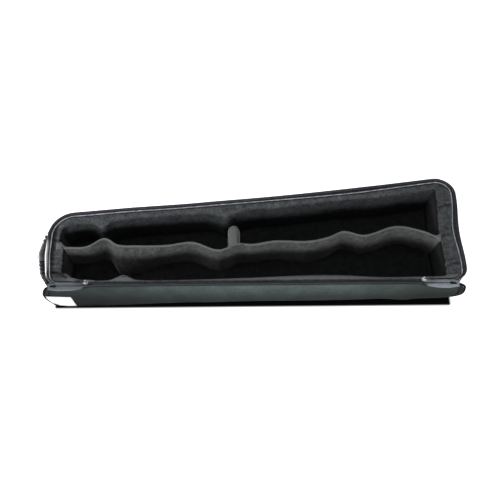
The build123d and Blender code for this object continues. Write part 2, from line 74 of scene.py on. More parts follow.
class Shade:
    """A socket of a material. Operators on it add Math nodes, and node() adds any other node."""

    def __init__(self, tree, socket=None):
        self.tree, self.socket = tree, socket

    def node(self, kind, settings=(), output=0, **inputs):
        """An output of a new node, if it has any. An input goes by its name, or by _ and its number."""
        made = self.tree.nodes.new("ShaderNode" + kind)
        for name, value in dict(settings).items():
            setattr(made, name, value)
        for name, value in inputs.items():
            key = int(name[1:]) if name[0] == "_" else name.replace("_", " ")
            if isinstance(value, Shade):
                self.tree.links.new(value.socket, made.inputs[key])
            else:
                made.inputs[key].default_value = value
        return Shade(self.tree, made.outputs[output] if made.outputs else None)

    def math(self, operation, *values):
        return self.node("Math", {"operation": operation}, **{f"_{i}": v for i, v in enumerate(values)})

    def __add__(self, other):
        return self.math("ADD", self, other)

    def __sub__(self, other):
        return self.math("SUBTRACT", self, other)

    def __rsub__(self, other):
        return self.math("SUBTRACT", other, self)

    def __mul__(self, other):
        return self.math("MULTIPLY", self, other)

    __radd__, __rmul__ = __add__, __mul__

    def axes(self):
        """A place as east, north and height, or a direction as its three parts."""
        return [self.node("SeparateXYZ", (), i, Vector=self) for i in range(3)]

    def between(self, low, high):
        """0 at low, 1 at high, smooth in between and level beyond. low may be the larger one."""
        return self.node("MapRange", {"interpolation_type": "SMOOTHSTEP"}, Value=self, From_Min=low, From_Max=high)

    def mix(self, first, second):
        """Two colours mixed by this value."""
        return self.node("Mix", {"data_type": "RGBA"}, 2, _0=self, _6=first, _7=second)


def colour(red, green, blue):
    """A colour as sockets take it."""
    return (red, green, blue, 1.0)


def new_finish(name):
    """An empty material, and the Shade that its nodes start from."""
    material = bpy.data.materials.new(name)
    material.use_nodes = True
    material.node_tree.nodes.clear()
    return material, Shade(material.node_tree)


def coat(material, surface):
    """Make a shader the surface of a material."""
    surface.node("OutputMaterial", Surface=surface)
    return material


# The patch under the case where the paper's colour is painted dark as a shadow, in metres, and how far the painted
# shadow runs out on the paper.
WEST, EAST, SOUTH, NORTH = -0.353, 0.350, -0.0525, 0.08
GLOW_STARTS, PAINTED_SHADOW_FADE = 0.006, 0.005

sweep_finish, shade = new_finish("white_sweep")
east, north, _ = shade.node("NewGeometry").axes()
beyond = (WEST - east, east - EAST, SOUTH - north, north - NORTH)
west_gap, east_gap, south_gap, north_gap = (shade.math("MAXIMUM", way, 0.0) for way in beyond)
gap = west_gap + east_gap + south_gap + north_gap
direct, glossy, through = (
    shade.node("LightPath", (), f"Is {ray} Ray") for ray in ("Camera", "Glossy", "Transmission"))
seen = shade.math("MAXIMUM", shade.math("MAXIMUM", direct, glossy), through)
white = shade.node("Emission", Color=colour(1, 1, 1), Strength=seen * gap.between(0.0, GLOW_STARTS))
# Painted shadow: the paper's colour is nearly black under the case.
paper_with_painted_shadow = gap.between(0.0, PAINTED_SHADOW_FADE).mix(colour(0.004, 0.004, 0.004), colour(0.9, 0.9, 0.9))
paper = shade.node("BsdfDiffuse", Color=paper_with_painted_shadow)
coat(sweep_finish, shade.node("AddShader", (), 0, _0=white, _1=paper))

SWEEP_HALF = 3.0
sweep_corners = [(SWEEP_HALF * x, SWEEP_HALF * y, 0) for x, y in ((-1, -1), (1, -1), (1, 1), (-1, 1))]
sweep_mesh = bpy.data.meshes.new("sweep")
sweep_mesh.from_pydata(sweep_corners, [], [(0, 1, 2, 3)])
sweep_mesh.materials.append(sweep_finish)
sweep = bpy.data.objects.new("sweep", sweep_mesh)
scene.collection.objects.link(sweep)


def softbox(name, at, aim, width, height, watts):
    """A soft lamp, in metres, aimed at a point."""
    lamp = bpy.data.lights.new(name, "AREA")
    lamp.shape, lamp.size, lamp.size_y, lamp.energy = "RECTANGLE", width, height, watts
    holder = bpy.data.objects.new(name, lamp)
    holder.location = at
    holder.rotation_euler = (Vector(aim) - Vector(at)).to_track_quat("-Z", "Y").to_euler()
    scene.collection.objects.link(holder)


softbox("overhead", (0.1, 0.0, 1.7), (0, 0.05, 0), 1.2, 0.5, 9)
softbox("front", (-0.1, -1.9, 0.92), (0, 0, 0.05), 1.5, 0.5, 36)
softbox("left_strip", (-1.0, 0.2, 0.5), (-0.35, 0.0, 0.06), 1.0, 0.3, 7)

ROOM_LIGHT = 0.06
world = bpy.data.worlds.new("studio")
world.use_nodes = True
world.node_tree.nodes.clear()
sky = Shade(world.node_tree)
direct = sky.node("LightPath", (), "Is Camera Ray")
background = sky.node("Background", Color=colour(1, 1, 1), Strength=direct * (1 - ROOM_LIGHT) + ROOM_LIGHT)
sky.node("OutputWorld", Surface=background)
scene.world = world

# Outer cover: black nylon over a foam and board shell, cut to a long wedge whose zip side is slightly hollow.
# Its walls are slightly puffed and creased, and its lower edge is rounded.
LENGTH = 717.0
NARROW_WIDTH, WIDE_WIDTH = 136.0, 207.0
FAR_HOLLOW = 7.0
HINGE_Y = -45.0
NARROW_END, WIDE_END = -LENGTH / 2, LENGTH / 2
FAR_NARROW_RADIUS, FAR_WIDE_RADIUS = 46.0, 30.0
NEAR_NARROW_RADIUS, NEAR_WIDE_RADIUS = 22.0, 25.0
chord = (LENGTH, WIDE_WIDTH - NARROW_WIDTH)
chord_length = math.hypot(*chord)
FAR_RADIUS = (chord_length**2 / 4 + FAR_HOLLOW**2) / (2 * FAR_HOLLOW)
FAR_CENTRE = (
    NARROW_END + chord[0] / 2 - chord[1] / chord_length * (FAR_RADIUS - FAR_HOLLOW),
    HINGE_Y + NARROW_WIDTH + chord[1] / 2 + chord[0] / chord_length * (FAR_RADIUS - FAR_HOLLOW),
)
BASE_Z = 5.7
RIM_Z = 85.0
BOTTOM_RADIUS = 8.0
WALL_PUFF = 1.1
BULGE_FROM_X, LEAN_FROM_X = 250.0, -290.0
HINGE_TURN_STEPS, ZIP_TURN_STEPS, ZIP_SIDE_STEPS = 16, 24, 60
ZIP_STEPS, HINGE_SIDE_STEPS = 300, 120


def arc(centre, radius, first, last, steps):
    """Points of an arc between two angles."""
    angles = [first + (last - first) * i / steps for i in range(steps + 1)]
    return [(centre[0] + radius * math.cos(a), centre[1] + radius * math.sin(a)) for a in angles]


def corner_centres():
    """Centres of the two rounded corners of the zip side."""
    for x, radius in (
        (NARROW_END + FAR_NARROW_RADIUS, FAR_NARROW_RADIUS),
        (WIDE_END - FAR_WIDE_RADIUS, FAR_WIDE_RADIUS),
    ):
        yield x, FAR_CENTRE[1] - math.sqrt((FAR_RADIUS + radius) ** 2 - (x - FAR_CENTRE[0]) ** 2)


FAR_LEFT, FAR_RIGHT = corner_centres()


def zip_side(x, inset=0.0):
    """Y of the zip side's edge at x, with its rounded corners, moved in by inset."""
    for (cx, cy), radius, way in (
        (FAR_LEFT, FAR_NARROW_RADIUS - inset, -1),
        (FAR_RIGHT, FAR_WIDE_RADIUS - inset, 1),
    ):
        touch = cx + radius * (FAR_CENTRE[0] - cx) / (FAR_RADIUS + inset + radius)
        if (x - touch) * way > 0:
            return cy + math.sqrt(max(0.0, radius**2 - (x - cx) ** 2))
    return FAR_CENTRE[1] - math.sqrt((FAR_RADIUS + inset) ** 2 - (x - FAR_CENTRE[0]) ** 2)


def hinge_side(x, inset, near_inset):
    """Y of the hinge side's edge at x, moved in by near_inset, with its corners' radii less inset."""
    near = HINGE_Y + near_inset
    for radius, cx, way in (
        (NEAR_NARROW_RADIUS - inset, NARROW_END + NEAR_NARROW_RADIUS, -1),
        (NEAR_WIDE_RADIUS - inset, WIDE_END - NEAR_WIDE_RADIUS, 1),
    ):
        if (x - cx) * way > 0:
            return near + radius - math.sqrt(max(0.0, radius**2 - (x - cx) ** 2))
    return near


def zip_run(inset, near_inset, spacing=None, count=None):
    """The three zip sides from hinge corner to hinge corner, as points spread evenly by a spacing or to a count."""
    near = HINGE_Y + near_inset
    left_r, right_r = NEAR_NARROW_RADIUS - inset, NEAR_WIDE_RADIUS - inset
    left_c = (NARROW_END + NEAR_NARROW_RADIUS, near + left_r)
    right_c = (WIDE_END - NEAR_WIDE_RADIUS, near + right_r)
    left_turn = math.atan2(FAR_CENTRE[1] - FAR_LEFT[1], FAR_CENTRE[0] - FAR_LEFT[0])
    right_turn = math.atan2(FAR_CENTRE[1] - FAR_RIGHT[1], FAR_CENTRE[0] - FAR_RIGHT[0])
    points = arc(left_c, left_r, 1.5 * math.pi, math.pi, HINGE_TURN_STEPS)
    points += arc(FAR_LEFT, FAR_NARROW_RADIUS - inset, math.pi, left_turn, ZIP_TURN_STEPS)
    points += arc(FAR_CENTRE, FAR_RADIUS + inset, left_turn - math.pi, right_turn - math.pi, ZIP_SIDE_STEPS)
    points += arc(FAR_RIGHT, FAR_WIDE_RADIUS - inset, right_turn, 0.0, ZIP_TURN_STEPS)
    points += arc(right_c, right_r, 0.0, -0.5 * math.pi, HINGE_TURN_STEPS)
    return evenly([Vector((*p, 0)) for p in points], spacing, count)


def evenly(points, spacing, count=None):
    """A line's points spread evenly along it, by a spacing or to a count."""
    places = [0.0]
    for a, b in zip(points, points[1:]):
        places.append(places[-1] + (b - a).length)
    count = count or max(2, round(places[-1] / spacing))
    spread, k = [], 0
    for i in range(count + 1):
        target = places[-1] * i / count
        while k < len(places) - 2 and places[k + 1] < target:
            k += 1
        span = places[k + 1] - places[k]
        spread.append(points[k].lerp(points[k + 1], (target - places[k]) / span if span else 0.0))
    return spread


def outwards(points):
    """Level outward normals of a line that runs clockwise, seen from above."""
    normals = []
    for i in range(len(points)):
        run = points[min(i + 1, len(points) - 1)] - points[max(i - 1, 0)]
        normals.append(Vector((-run.y, run.x, 0)).normalized())
    return normals


def smooth_mesh(name, rows, finish, around=False, caps=""):
    """A piece from rows of points in millimetres. around joins each row's ends, and caps closes the first row, the
    last or both."""
    width = len(rows[0])
    points = [(x / 1000, y / 1000, z / 1000) for row in rows for x, y, z in row]
    faces = []
    for r in range(len(rows) - 1):
        for c in range(width if around else width - 1):
            across = (c + 1) % width
            faces.append((r * width + c, r * width + across, (r + 1) * width + across, (r + 1) * width + c))
    if caps in ("first", "both"):
        faces.append(tuple(range(width))[::-1])
    if caps in ("last", "both"):
        faces.append(tuple(range((len(rows) - 1) * width, len(rows) * width)))
    mesh = bpy.data.meshes.new(name)
    mesh.from_pydata(points, [], faces)
    mesh.materials.append(finish)
    mesh.polygons.foreach_set("use_smooth", [True] * len(faces))
    mesh.validate()
    tidy = bmesh.new()
    tidy.from_mesh(mesh)
    bmesh.ops.recalc_face_normals(tidy, faces=tidy.faces)
    tidy.to_mesh(mesh)
    tidy.free()
    piece = bpy.data.objects.new(name, mesh)
    scene.collection.objects.link(piece)
    return piece


def wobble(x, y, z, size, seed=0.0):
    """Smooth unevenness from -1 to 1 with features of a given size."""
    return noise.noise(Vector((x / size + seed, y / size - seed, z / size + 2 * seed)))


def smooth_step(low, high, x):
    """0 at low, 1 at high, smooth in between and level beyond, as Shade.between is."""
    u = min(1.0, max(0.0, (x - low) / (high - low)))
    return u * u * (3 - 2 * u)


def hill(x, place, half):
    """1 at a place, falling to nothing beside it."""
    return math.exp(-(((x - place) / half) ** 2))


def strayed(x, y, inner=1.0):
    """Where a point of the soft rim has got to: the wide end bulges, the narrow end leans in at the hinge, and the
    zip side wanders. inner is 0 on the outer face and 1 at the zip, which wanders more."""
    wide = max(0.0, (x - BULGE_FROM_X) / 100.0) ** 2 * smooth_step(-51, -31, y)
    narrow = max(0.0, (LEAN_FROM_X - x) / 60.0) ** 2
    zip_edge = smooth_step(70.0, 6.0, zip_side(x) - y)
    dx = wide * (3.1 + 1.6 * math.cos((y - 118.0) / 66.0 * math.pi) - 2.4 * inner * hill(y, 58, 38))
    dx += narrow * 3.9 * max(0.0, (14.0 - y) / 40.0) ** 1.3
    dy = 2.2 * hill(x, -215, 75) + 1.2 * hill(x, -70, 70) - 2.4 * inner * hill(x, 175, 90)
    return x + dx, y + dy * zip_edge


def painted_highlight_and_gloss(place):
    """Where the narrow end's rim gets a painted highlight in its colour and a glossy coat: fully along its rim, and
    nowhere else.
    """
    east, north, height = place.axes()
    along = north.between(0.045, 0.022) * north.between(-0.046, -0.036)
    return east.between(-0.351, -0.355) * along * height.between(0.0795, 0.0815)


def nylon(name, dark, light, pitch, gloss=0.45, painted_brightness=0.0, shine=0.35):
    """Woven nylon: threads across each other, with paler high spots of wear, and a painted highlight along the narrow
    end's rim. pitch is how fine the threads are, gloss the middle of its roughness, the next argument how pale the
    painted highlight makes that rim, and shine how much light glances off."""
    material, shade = new_finish(name)
    place = shade.node("TexCoord", (), 3)
    along, across, up = (
        shade.node("TexWave", {"bands_direction": axis}, 1, Vector=place, Scale=pitch) for axis in "XYZ")
    weave = along * 0.34 + across * 0.33 + up * 0.33
    cloud = shade.node("TexNoise", (), 0, Vector=place, Scale=55.0, Detail=4.0, Roughness=0.6)
    tone = weave * 0.45 + cloud.between(0.3, 0.75) * 0.55
    # Painted highlight on the narrow end's rim: a paler colour there, with a glossy coat.
    highlight_and_gloss_mask = painted_highlight_and_gloss(place)
    surface = shade.node(
        "BsdfPrincipled", (), 0,
        Base_Color=(highlight_and_gloss_mask * painted_brightness).mix(tone.mix(colour(*dark), colour(*light)), colour(0.62, 0.62, 0.64)),
        Roughness=cloud * 0.25 + (gloss - 0.1),
        Normal=shade.node("Bump", (), 0, Strength=0.25, Distance=0.0004, Height=weave),
        Sheen_Weight=shine * 0.35, Sheen_Roughness=0.4, Specular_IOR_Level=shine,
        Coat_Weight=highlight_and_gloss_mask, Coat_Roughness=0.14, Coat_IOR=2.4,
    )
    return coat(material, surface)


cover_nylon = nylon("cover_nylon", (0.007, 0.008, 0.011), (0.026, 0.029, 0.036), 900.0)


def cover_ring(inset, z, puff=0.0):
    """One level of the cover, all the way round, moved in by inset and puffed out by puff."""
    run = zip_run(inset, inset, count=ZIP_STEPS)
    first, last, near = run[0].x, run[-1].x, HINGE_Y + inset
    back = [Vector((last + (first - last) * i / HINGE_SIDE_STEPS, near, 0)) for i in range(1, HINGE_SIDE_STEPS)]
    ring = run + back
    normals = outwards([ring[-1]] + ring + [ring[0]])[1:-1]
    level = []
    for point, normal in zip(ring, normals):
        crease = puff * (0.6 + 0.7 * wobble(point.x, point.y, z, 38.0) + 0.35 * wobble(point.x, point.y, z, 13.0, 7.0))
        out = point + normal * crease
        rim_x, rim_y = strayed(out.x, out.y, 0.0)
        up = min(1.0, z / RIM_Z)
        level.append((out.x + (rim_x - out.x) * up, out.y + (rim_y - out.y) * up, z))
    return level


levels = []
for i in range(7):
    turn = math.radians(15 * i)
    levels.append((BOTTOM_RADIUS * (1 - math.sin(turn)), BASE_Z + BOTTOM_RADIUS * (1 - math.cos(turn)), 0.0))
for z in (19, 25, 31, 37, 43, 49, 55, 61, 67, 72, 76, 79):
    levels.append((0.0, z, WALL_PUFF * math.sin(math.pi * (z - 13) / 68)))
levels += [(0.6, 81.0, 0.0), (2.0, 81.9, 0.0), (4.2, 82.0, 0.0)]
cover_rings = [cover_ring(*level) for level in levels]
cover = smooth_mesh("outer_cover_shell", cover_rings, cover_nylon, around=True, caps="first")
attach(cover, "base")
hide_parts("outer_cover", "foam_core")

# Rim piping: a cord in a folded nylon strip, sewn into the seam between the cover and the zip. It runs
# round the three zip sides and dies away at the hinge-side corners.
PIPING_RADIUS = 2.5
PIPING_INSET, PIPING_NEAR_INSET = 1.0, 2.2
PIPING_Z = 82.5
PIPING_END_SHARE, PIPING_END_RINGS = 0.35, 8
RIM_SPACING = 3.0

rim_start = zip_run(0.0, 0.0, RIM_SPACING)
rim_normals = outwards(rim_start)


def seam(inset, near_inset):
    """The zip sides' line moved in, by inset at the sides and by near_inset where it has come round to the hinge."""
    moved = []
    for point, normal in zip(rim_start, rim_normals):
        towards_hinge = max(0.0, -normal.y) ** 1.5
        moved.append(point - normal * (inset + (near_inset - inset) * towards_hinge))
    return moved


def rim_line(inset, near_inset, z, left_x=None, right_x=None):
    """A line parallel to the rim, which can run on along the hinge side to two places at the ends of the zip."""
    inner = smooth_step(1.0, 6.0, inset)
    line = [Vector((*strayed(point.x, point.y, inner), z)) for point in seam(inset, near_inset)]
    for x, end in ((left_x, 0), (right_x, -1)):
        if x is not None:
            corner = line[end]
            steps = max(2, round(abs(x - corner.x) / RIM_SPACING))
            straight = [Vector((corner.x + (x - corner.x) * i / steps, corner.y, z)) for i in range(1, steps + 1)]
            line = straight[::-1] + line if end == 0 else line + straight
    return line


def tube(line, radius, sides=10, swell=None):
    """Rings of points round a line that lies nearly level; swell gives a ring's radius by its number."""
    rings = []
    for i, (centre, out) in enumerate(zip(line, outwards(line))):
        r = swell(i) if swell else radius
        ring = []
        for k in range(sides):
            turn = 2 * math.pi * k / sides
            ring.append(tuple(centre + out * (r * math.cos(turn)) + Vector((0, 0, r * math.sin(turn)))))
        rings.append(ring)
    return rings


# The piping's colour is painted pale along the narrow end's rim, as a highlight.
piping_finish = nylon("piping_nylon", (0.008, 0.009, 0.013), (0.030, 0.032, 0.042), 1100.0, 0.42, 0.85)
piping_line = rim_line(PIPING_INSET, PIPING_NEAR_INSET, PIPING_Z)
piping_line = [p + Vector((0, 0, 0.35 * wobble(p.x, p.y, 0, 45.0))) for p in piping_line]
piping_ends = len(piping_line) - 1


def piping_swell(i):
    """The cord dies away over the last rings at each end."""
    from_end = min(i, piping_ends - i)
    return PIPING_RADIUS * min(1.0, PIPING_END_SHARE + from_end / PIPING_END_RINGS)


piping_rings = tube(piping_line, PIPING_RADIUS, 12, piping_swell)
piping = smooth_mesh("rim_piping_cord", piping_rings, piping_finish, around=True, caps="both")
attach(piping, "base")
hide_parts("rim_piping")

# Zip tape of the base: a woven ribbon inside the piping, sewn down along its outer edge, that carries the coil
# and runs on along the hinge side to the sliders.
TAPE_Z = 82.3
TAPE_THICK = 0.8
SLIDER_LEFT_X, SLIDER_RIGHT_X = -285.0, 290.0
ZIP_STOP = 4.0


def ribbon(lines, thickness):
    """Rings of a flat ribbon through several parallel lines, which are given from one edge to the other."""
    rings = []
    for points in zip(*lines):
        under = [p - Vector((0, 0, thickness)) for p in points]
        rings.append([tuple(p) for p in list(points) + under[::-1]])
    return rings


def woven_tape(name, dark, light, low=1.0):
    """Twill zip tape: fine diagonal ribs, a little shiny with wear. low is how much of its tone is left below the rim,
    where its colour is painted darker as shade."""
    material, shade = new_finish(name)
    place = shade.node("TexCoord", (), 3)
    twill = shade.node("TexWave", {"bands_direction": "DIAGONAL"}, 1, Vector=place, Scale=700.0, Distortion=0.6)
    fuzz = shade.node("TexNoise", (), 0, Vector=place, Scale=320.0, Detail=3.0)
    tone = (twill * 0.5 + fuzz * 0.5).between(0.25, 0.75)
    _, _, height = place.axes()
    # Painted shade: below the rim the colour darkens towards black, down to low of its tone.
    lightness = height.between(0.066, 0.080) * (1 - low) + low
    surface = shade.node(
        "BsdfPrincipled", (), 0, Base_Color=lightness.mix(colour(0, 0, 0), tone.mix(colour(*dark), colour(*light))),
        Roughness=fuzz * 0.2 + 0.5, Normal=shade.node("Bump", (), 0, Strength=0.3, Distance=0.0003, Height=twill),
        Sheen_Weight=0.06 * low, Specular_IOR_Level=0.3 * low,
    )
    return coat(material, surface)


# Below the rim this tape's colour is painted dark as shade; the lid's tape and coil, which lie there, use it too.
tape_finish = woven_tape("zip_tape_twill", (0.020, 0.023, 0.031), (0.060, 0.070, 0.088), 0.15)
tape_lines = [
    rim_line(inset, near, TAPE_Z + rise, SLIDER_LEFT_X + ZIP_STOP, SLIDER_RIGHT_X - ZIP_STOP)
    for inset, near, rise in ((3.3, 0.3, 0.5), (4.4, 1.2, 0.2), (5.6, 2.2, 0.35), (6.8, 3.3, 0.5), (7.9, 4.3, 0.35))
]
rim_tape = smooth_mesh("rim_tape_ribbon", ribbon(tape_lines, TAPE_THICK), tape_finish, around=True, caps="both")
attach(rim_tape, "base")
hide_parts("rim_zip_tape")

# Zip coil of the base: one nylon wire wound into hundreds of small teeth and sewn on the tape's inner edge.
# It is grey on the zip sides and nearly black along the hinge side, and its colour is painted dark below the rim as
# shade.
COIL_RADIUS = 1.0
COIL_PITCH = 1.6
COIL_SIDES = 8
TOOTH_SWELL = 1.0, 0.9, 0.62, 0.9
COIL_INSET, COIL_NEAR_INSET = 7.0, 2.6
COIL_Z = 83.9

coil_finish, shade = new_finish("coil_nylon")
place = shade.node("TexCoord", (), 3)
scuff = shade.node("TexNoise", (), 0, Vector=place, Scale=140.0, Detail=3.0)
_, north, height = place.axes()
# Painted shade: the colour is nearly black below the rim, and darker along the hinge side.
painted_light_mask = height.between(0.060, 0.078) * (north.between(-0.038, -0.024) * 0.65 + 0.35)
coil_grey = scuff.between(0.3, 0.7).mix(colour(0.20, 0.20, 0.22), colour(0.46, 0.46, 0.49))
surface = shade.node(
    "BsdfPrincipled", (), 0, Base_Color=painted_light_mask.mix(colour(0.03, 0.03, 0.035), coil_grey), Roughness=scuff * 0.2 + 0.3)
coat(coil_finish, surface)


def toothed(line):
    """Rings of a coil along a line: each tooth swells and falls over four rings, and leans along the zip."""
    steps = evenly(line, COIL_PITCH / len(TOOTH_SWELL))
    rings = []
    for i, (centre, out) in enumerate(zip(steps, outwards(steps))):
        run = Vector((out.y, -out.x, 0))
        r = COIL_RADIUS * TOOTH_SWELL[i % len(TOOTH_SWELL)]
        ring = []
        for k in range(COIL_SIDES):
            turn = 2 * math.pi * k / COIL_SIDES
            lean = run * (0.3 * COIL_PITCH * math.cos(turn))
            ring.append(tuple(centre + lean + out * (r * math.cos(turn)) + Vector((0, 0, r * math.sin(turn)))))
        rings.append(ring)
    return rings


coil_line = rim_line(COIL_INSET, COIL_NEAR_INSET, COIL_Z, SLIDER_LEFT_X, SLIDER_RIGHT_X)
rim_coil = smooth_mesh("rim_coil_teeth", toothed(coil_line), coil_finish, around=True, caps="both")
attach(rim_coil, "base")
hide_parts("rim_zip_coil")

# Plush insert: a moulded foam block covered in short-pile plush, with one long pocket. Its faces swell at the neck
# end and at mid length, its edges are rounded, and the pile shows as a fine grey speckle.
POCKET_LEFT, POCKET_RIGHT = -322.0, 324.0
NEAR_FACE_Y = -36.0
LIP_EDGE_Y = -42.4
LIP_LEFT, LIP_RIGHT = (-285, -262), (267, 290)
EDGE_TURN_INSET, NEAR_EDGE_INSET, FAR_EDGE_INSET = 7.9, 4.9, 8.1
SMALL_POCKET_REACH = 9.0
PLUSH_TOP = 83.5
FLOOR_Z = 16.0
FAR_FACE_INSET = 20.0
# How far each long face of the pocket swells in, by the distance from the pocket's narrow end.
far_swell = [
    (0, 4), (22, 2), (39, 5), (57, 17), (75, 5), (94, 1), (172, 0), (250, 3), (273, 14), (294, 6), (322, 1), (392, 2),
    (472, -2), (557, 2), (646, 0)]
near_swell = [
    (0, 12), (16, 4), (37, 0), (77, 0), (101, 9), (122, 0), (202, -1), (322, 2), (447, 6), (542, 1), (646, 2)]
# The long faces of the pocket from the top down: distance into the pocket, and height.
NEAR_PROFILE = [(-0.5, 81.9), (0.2, 77), (0.9, 50), (1.5, 26), (3.6, 18.4), (9, FLOOR_Z)]
FAR_PROFILE = [(-7.5, PLUSH_TOP), (-2.4, 79.8), (0.2, 71), (0.9, 50), (1.5, 26), (3.6, 18.4), (9, FLOOR_Z)]
# Steps in each stretch of a section, from the hinge side to the zip side.
SECTION_STEPS = 1, 3, 3, 4, 8, 7, 4, 4, 24, 24, 4, 4, 7, 8, 4, 3, 3, 2


def curve_through(points, x):
    """The smooth curve through (place, value) points, at a place."""
    places = [p for p, _ in points]
    if x <= places[0]:
        return points[0][1]
    if x >= places[-1]:
        return points[-1][1]
    k = max(i for i, p in enumerate(places[:-1]) if p <= x)

    def slope(i):
        low, high = max(i - 1, 0), min(i + 1, len(points) - 1)
        return (points[high][1] - points[low][1]) / (points[high][0] - points[low][0])

    span = places[k + 1] - places[k]
    u = (x - places[k]) / span
    return (
        (1 + 2 * u) * (1 - u) ** 2 * points[k][1] + u * (1 - u) ** 2 * span * slope(k)
        + u * u * (3 - 2 * u) * points[k + 1][1] - u * u * (1 - u) * span * slope(k + 1)
    )


def plush(name, dark, light, wall, painted_crest_highlight, sheen):
    """Short-pile plush: a dark ground with paler fibre tips in small tufts, and a soft sheen at grazing angles. Its
    colour has painted shade deep in the pockets, on steep faces and end walls, beside the zip and in the corner by the
    label, and painted highlights on crests and along the hinge side. wall is how much of its tone the painted shade
    leaves on steep faces, and the next argument how much paler the painted highlight makes the crests."""
    material, shade = new_finish(name)
    place = shade.node("TexCoord", (), 3)
    tufts = shade.node("TexNoise", (), 0, Vector=place, Scale=620.0, Detail=4.0, Roughness=0.7)
    brushed = shade.node("TexNoise", (), 0, Vector=place, Scale=95.0, Detail=3.0, Roughness=0.6)
    east, north, height = place.axes()
    facing_east, _, facing_sky = shade.node("TexCoord", (), 1).axes()
    facing_up = facing_sky.between(0.25, 0.85)
    facing_end = shade.math("ABSOLUTE", facing_east).between(0.4, 0.85)
    # Painted shade: the colour darkens deep in the pockets, on steep faces and end walls, beside the zip and in the
    # corner by the label.
    painted_shade_in_the_deep = height.between(0.012, 0.076) * 0.9 + 0.1
    painted_shade_on_steep_faces = (facing_up * (1 - wall) + wall) * (1 - facing_end * (1 - wall) * 1.4)
    painted_shade_beside_the_zip = (east.between(-0.3465, -0.340) * 0.8 + 0.2) * (north.between(-0.0415, -0.0385) * 0.55 + 0.45)
    painted_shade_by_the_label = 1 - east.between(-0.308, -0.326) * north.between(-0.010, -0.024) * 0.5
    tone_left_by_painted_shade = painted_shade_in_the_deep * painted_shade_on_steep_faces * painted_shade_beside_the_zip * painted_shade_by_the_label
    # Painted highlight: the colour is paler on crests, most of all on the crest along the hinge side.
    hinge_crest = north.between(-0.0315, -0.0345) * north.between(-0.0392, -0.0375)
    painted_light_mask = height.between(0.0785, 0.0812) * (hinge_crest * 2.0 + painted_crest_highlight)
    tone = (tufts * 0.7 + brushed * 0.3).between(0.36, 0.66) + painted_light_mask * 0.9
    surface = shade.node(
        "BsdfPrincipled", (), 0,
        Base_Color=tone_left_by_painted_shade.mix(colour(0.002, 0.002, 0.002), tone.mix(colour(*dark), colour(*light))),
        Roughness=tufts * 0.1 + 0.85, Normal=shade.node("Bump", (), 0, Strength=0.55, Distance=0.0012, Height=tufts),
        Sheen_Weight=sheen, Sheen_Roughness=0.35, Sheen_Tint=colour(0.6, 0.6, 0.6), Specular_IOR_Level=0.05,
    )
    return coat(material, surface)


plush_finish = plush("plush_pile", (0.026, 0.029, 0.031), (0.118, 0.126, 0.132), 0.45, 0.0, 0.12)

# Creases where the plush is pulled round a corner: three places on each, and how deep it is.
creases = [
    ((328, 99), (338, 104), (351, 106), 1.5), ((327, 41), (334, 45), (345, 47), 1.4),
    ((318, -24), (331, -13), (350, -9), 1.6), ((-345, -6), (-334, -5), (-322, -7), 1.0),
    ((-344, -22), (-330, -24), (-319, -31), 1.4), ((-346, 3), (-334, 4), (-323, 2), 0.8),
    ((-343, 40), (-335, 41), (-326, 38), 1.0)]
CREASE_DEPTH, CREASE_HALF = 2.2, 1.9
RIDGE_SHARE, RIDGE_AT, RIDGE_HALF = 0.6, 4.8, 2.2
FAR_AWAY = 99.0


def crease_depth(x, y):
    """How far the creases press the plush down at a place, with a soft ridge beside each."""
    depth = 0.0
    for first, middle, last, deep in creases:
        near = FAR_AWAY
        for a, b in ((first, middle), (middle, last)):
            run = (b[0] - a[0], b[1] - a[1])
            u = max(0.0, min(1.0, ((x - a[0]) * run[0] + (y - a[1]) * run[1]) / (run[0] ** 2 + run[1] ** 2)))
            near = min(near, math.hypot(x - a[0] - u * run[0], y - a[1] - u * run[1]))
        depth += CREASE_DEPTH * deep * (hill(near, 0.0, CREASE_HALF) - RIDGE_SHARE * hill(near, RIDGE_AT, RIDGE_HALF))
    return depth


def sampled(points, steps):
    """The smooth line through (y, z) points, with a number of steps in each stretch."""
    line = []
    for k in range(len(points) - 1):
        before, after = points[max(k - 1, 0)], points[min(k + 2, len(points) - 1)]
        a, b = points[k], points[k + 1]
        for i in range(steps[k]):
            u = i / steps[k]
            line.append(tuple(
                0.5 * (2 * a[j] + (b[j] - before[j]) * u + (2 * before[j] - 5 * a[j] + 4 * b[j] - after[j]) * u * u
                       + (3 * a[j] - before[j] - 3 * b[j] + after[j]) * u**3)
                for j in (0, 1)))
    return line + [points[-1]]


# The end walls' profile: distances into the pocket, and how much of its depth is reached there.
END_WALL = [
    (-4.0, 0.0), (-2.6, 0.012), (-1.6, 0.035), (-0.8, 0.08), (-0.2, 0.17), (0.3, 0.3), (0.7, 0.46), (1.1, 0.62),
    (1.6, 0.78), (2.6, 0.9), (4.6, 0.97), (7.5, 1.0)]


def depth_at(x, y):
    """How deep the pocket is at a place, from 0 on the end lands to 1: the small pocket reaches further into the
    narrow end than the long one."""
    left = x - (POCKET_LEFT - 4.5 - SMALL_POCKET_REACH * smooth_step(24, 40, y))
    inside = min(left, POCKET_RIGHT - x)
    if inside <= END_WALL[0][0]:
        return 0.0
    for (a, low), (b, high) in zip(END_WALL, END_WALL[1:]):
        if inside < b:
            return low + (high - low) * (inside - a) / (b - a)
    return 1.0


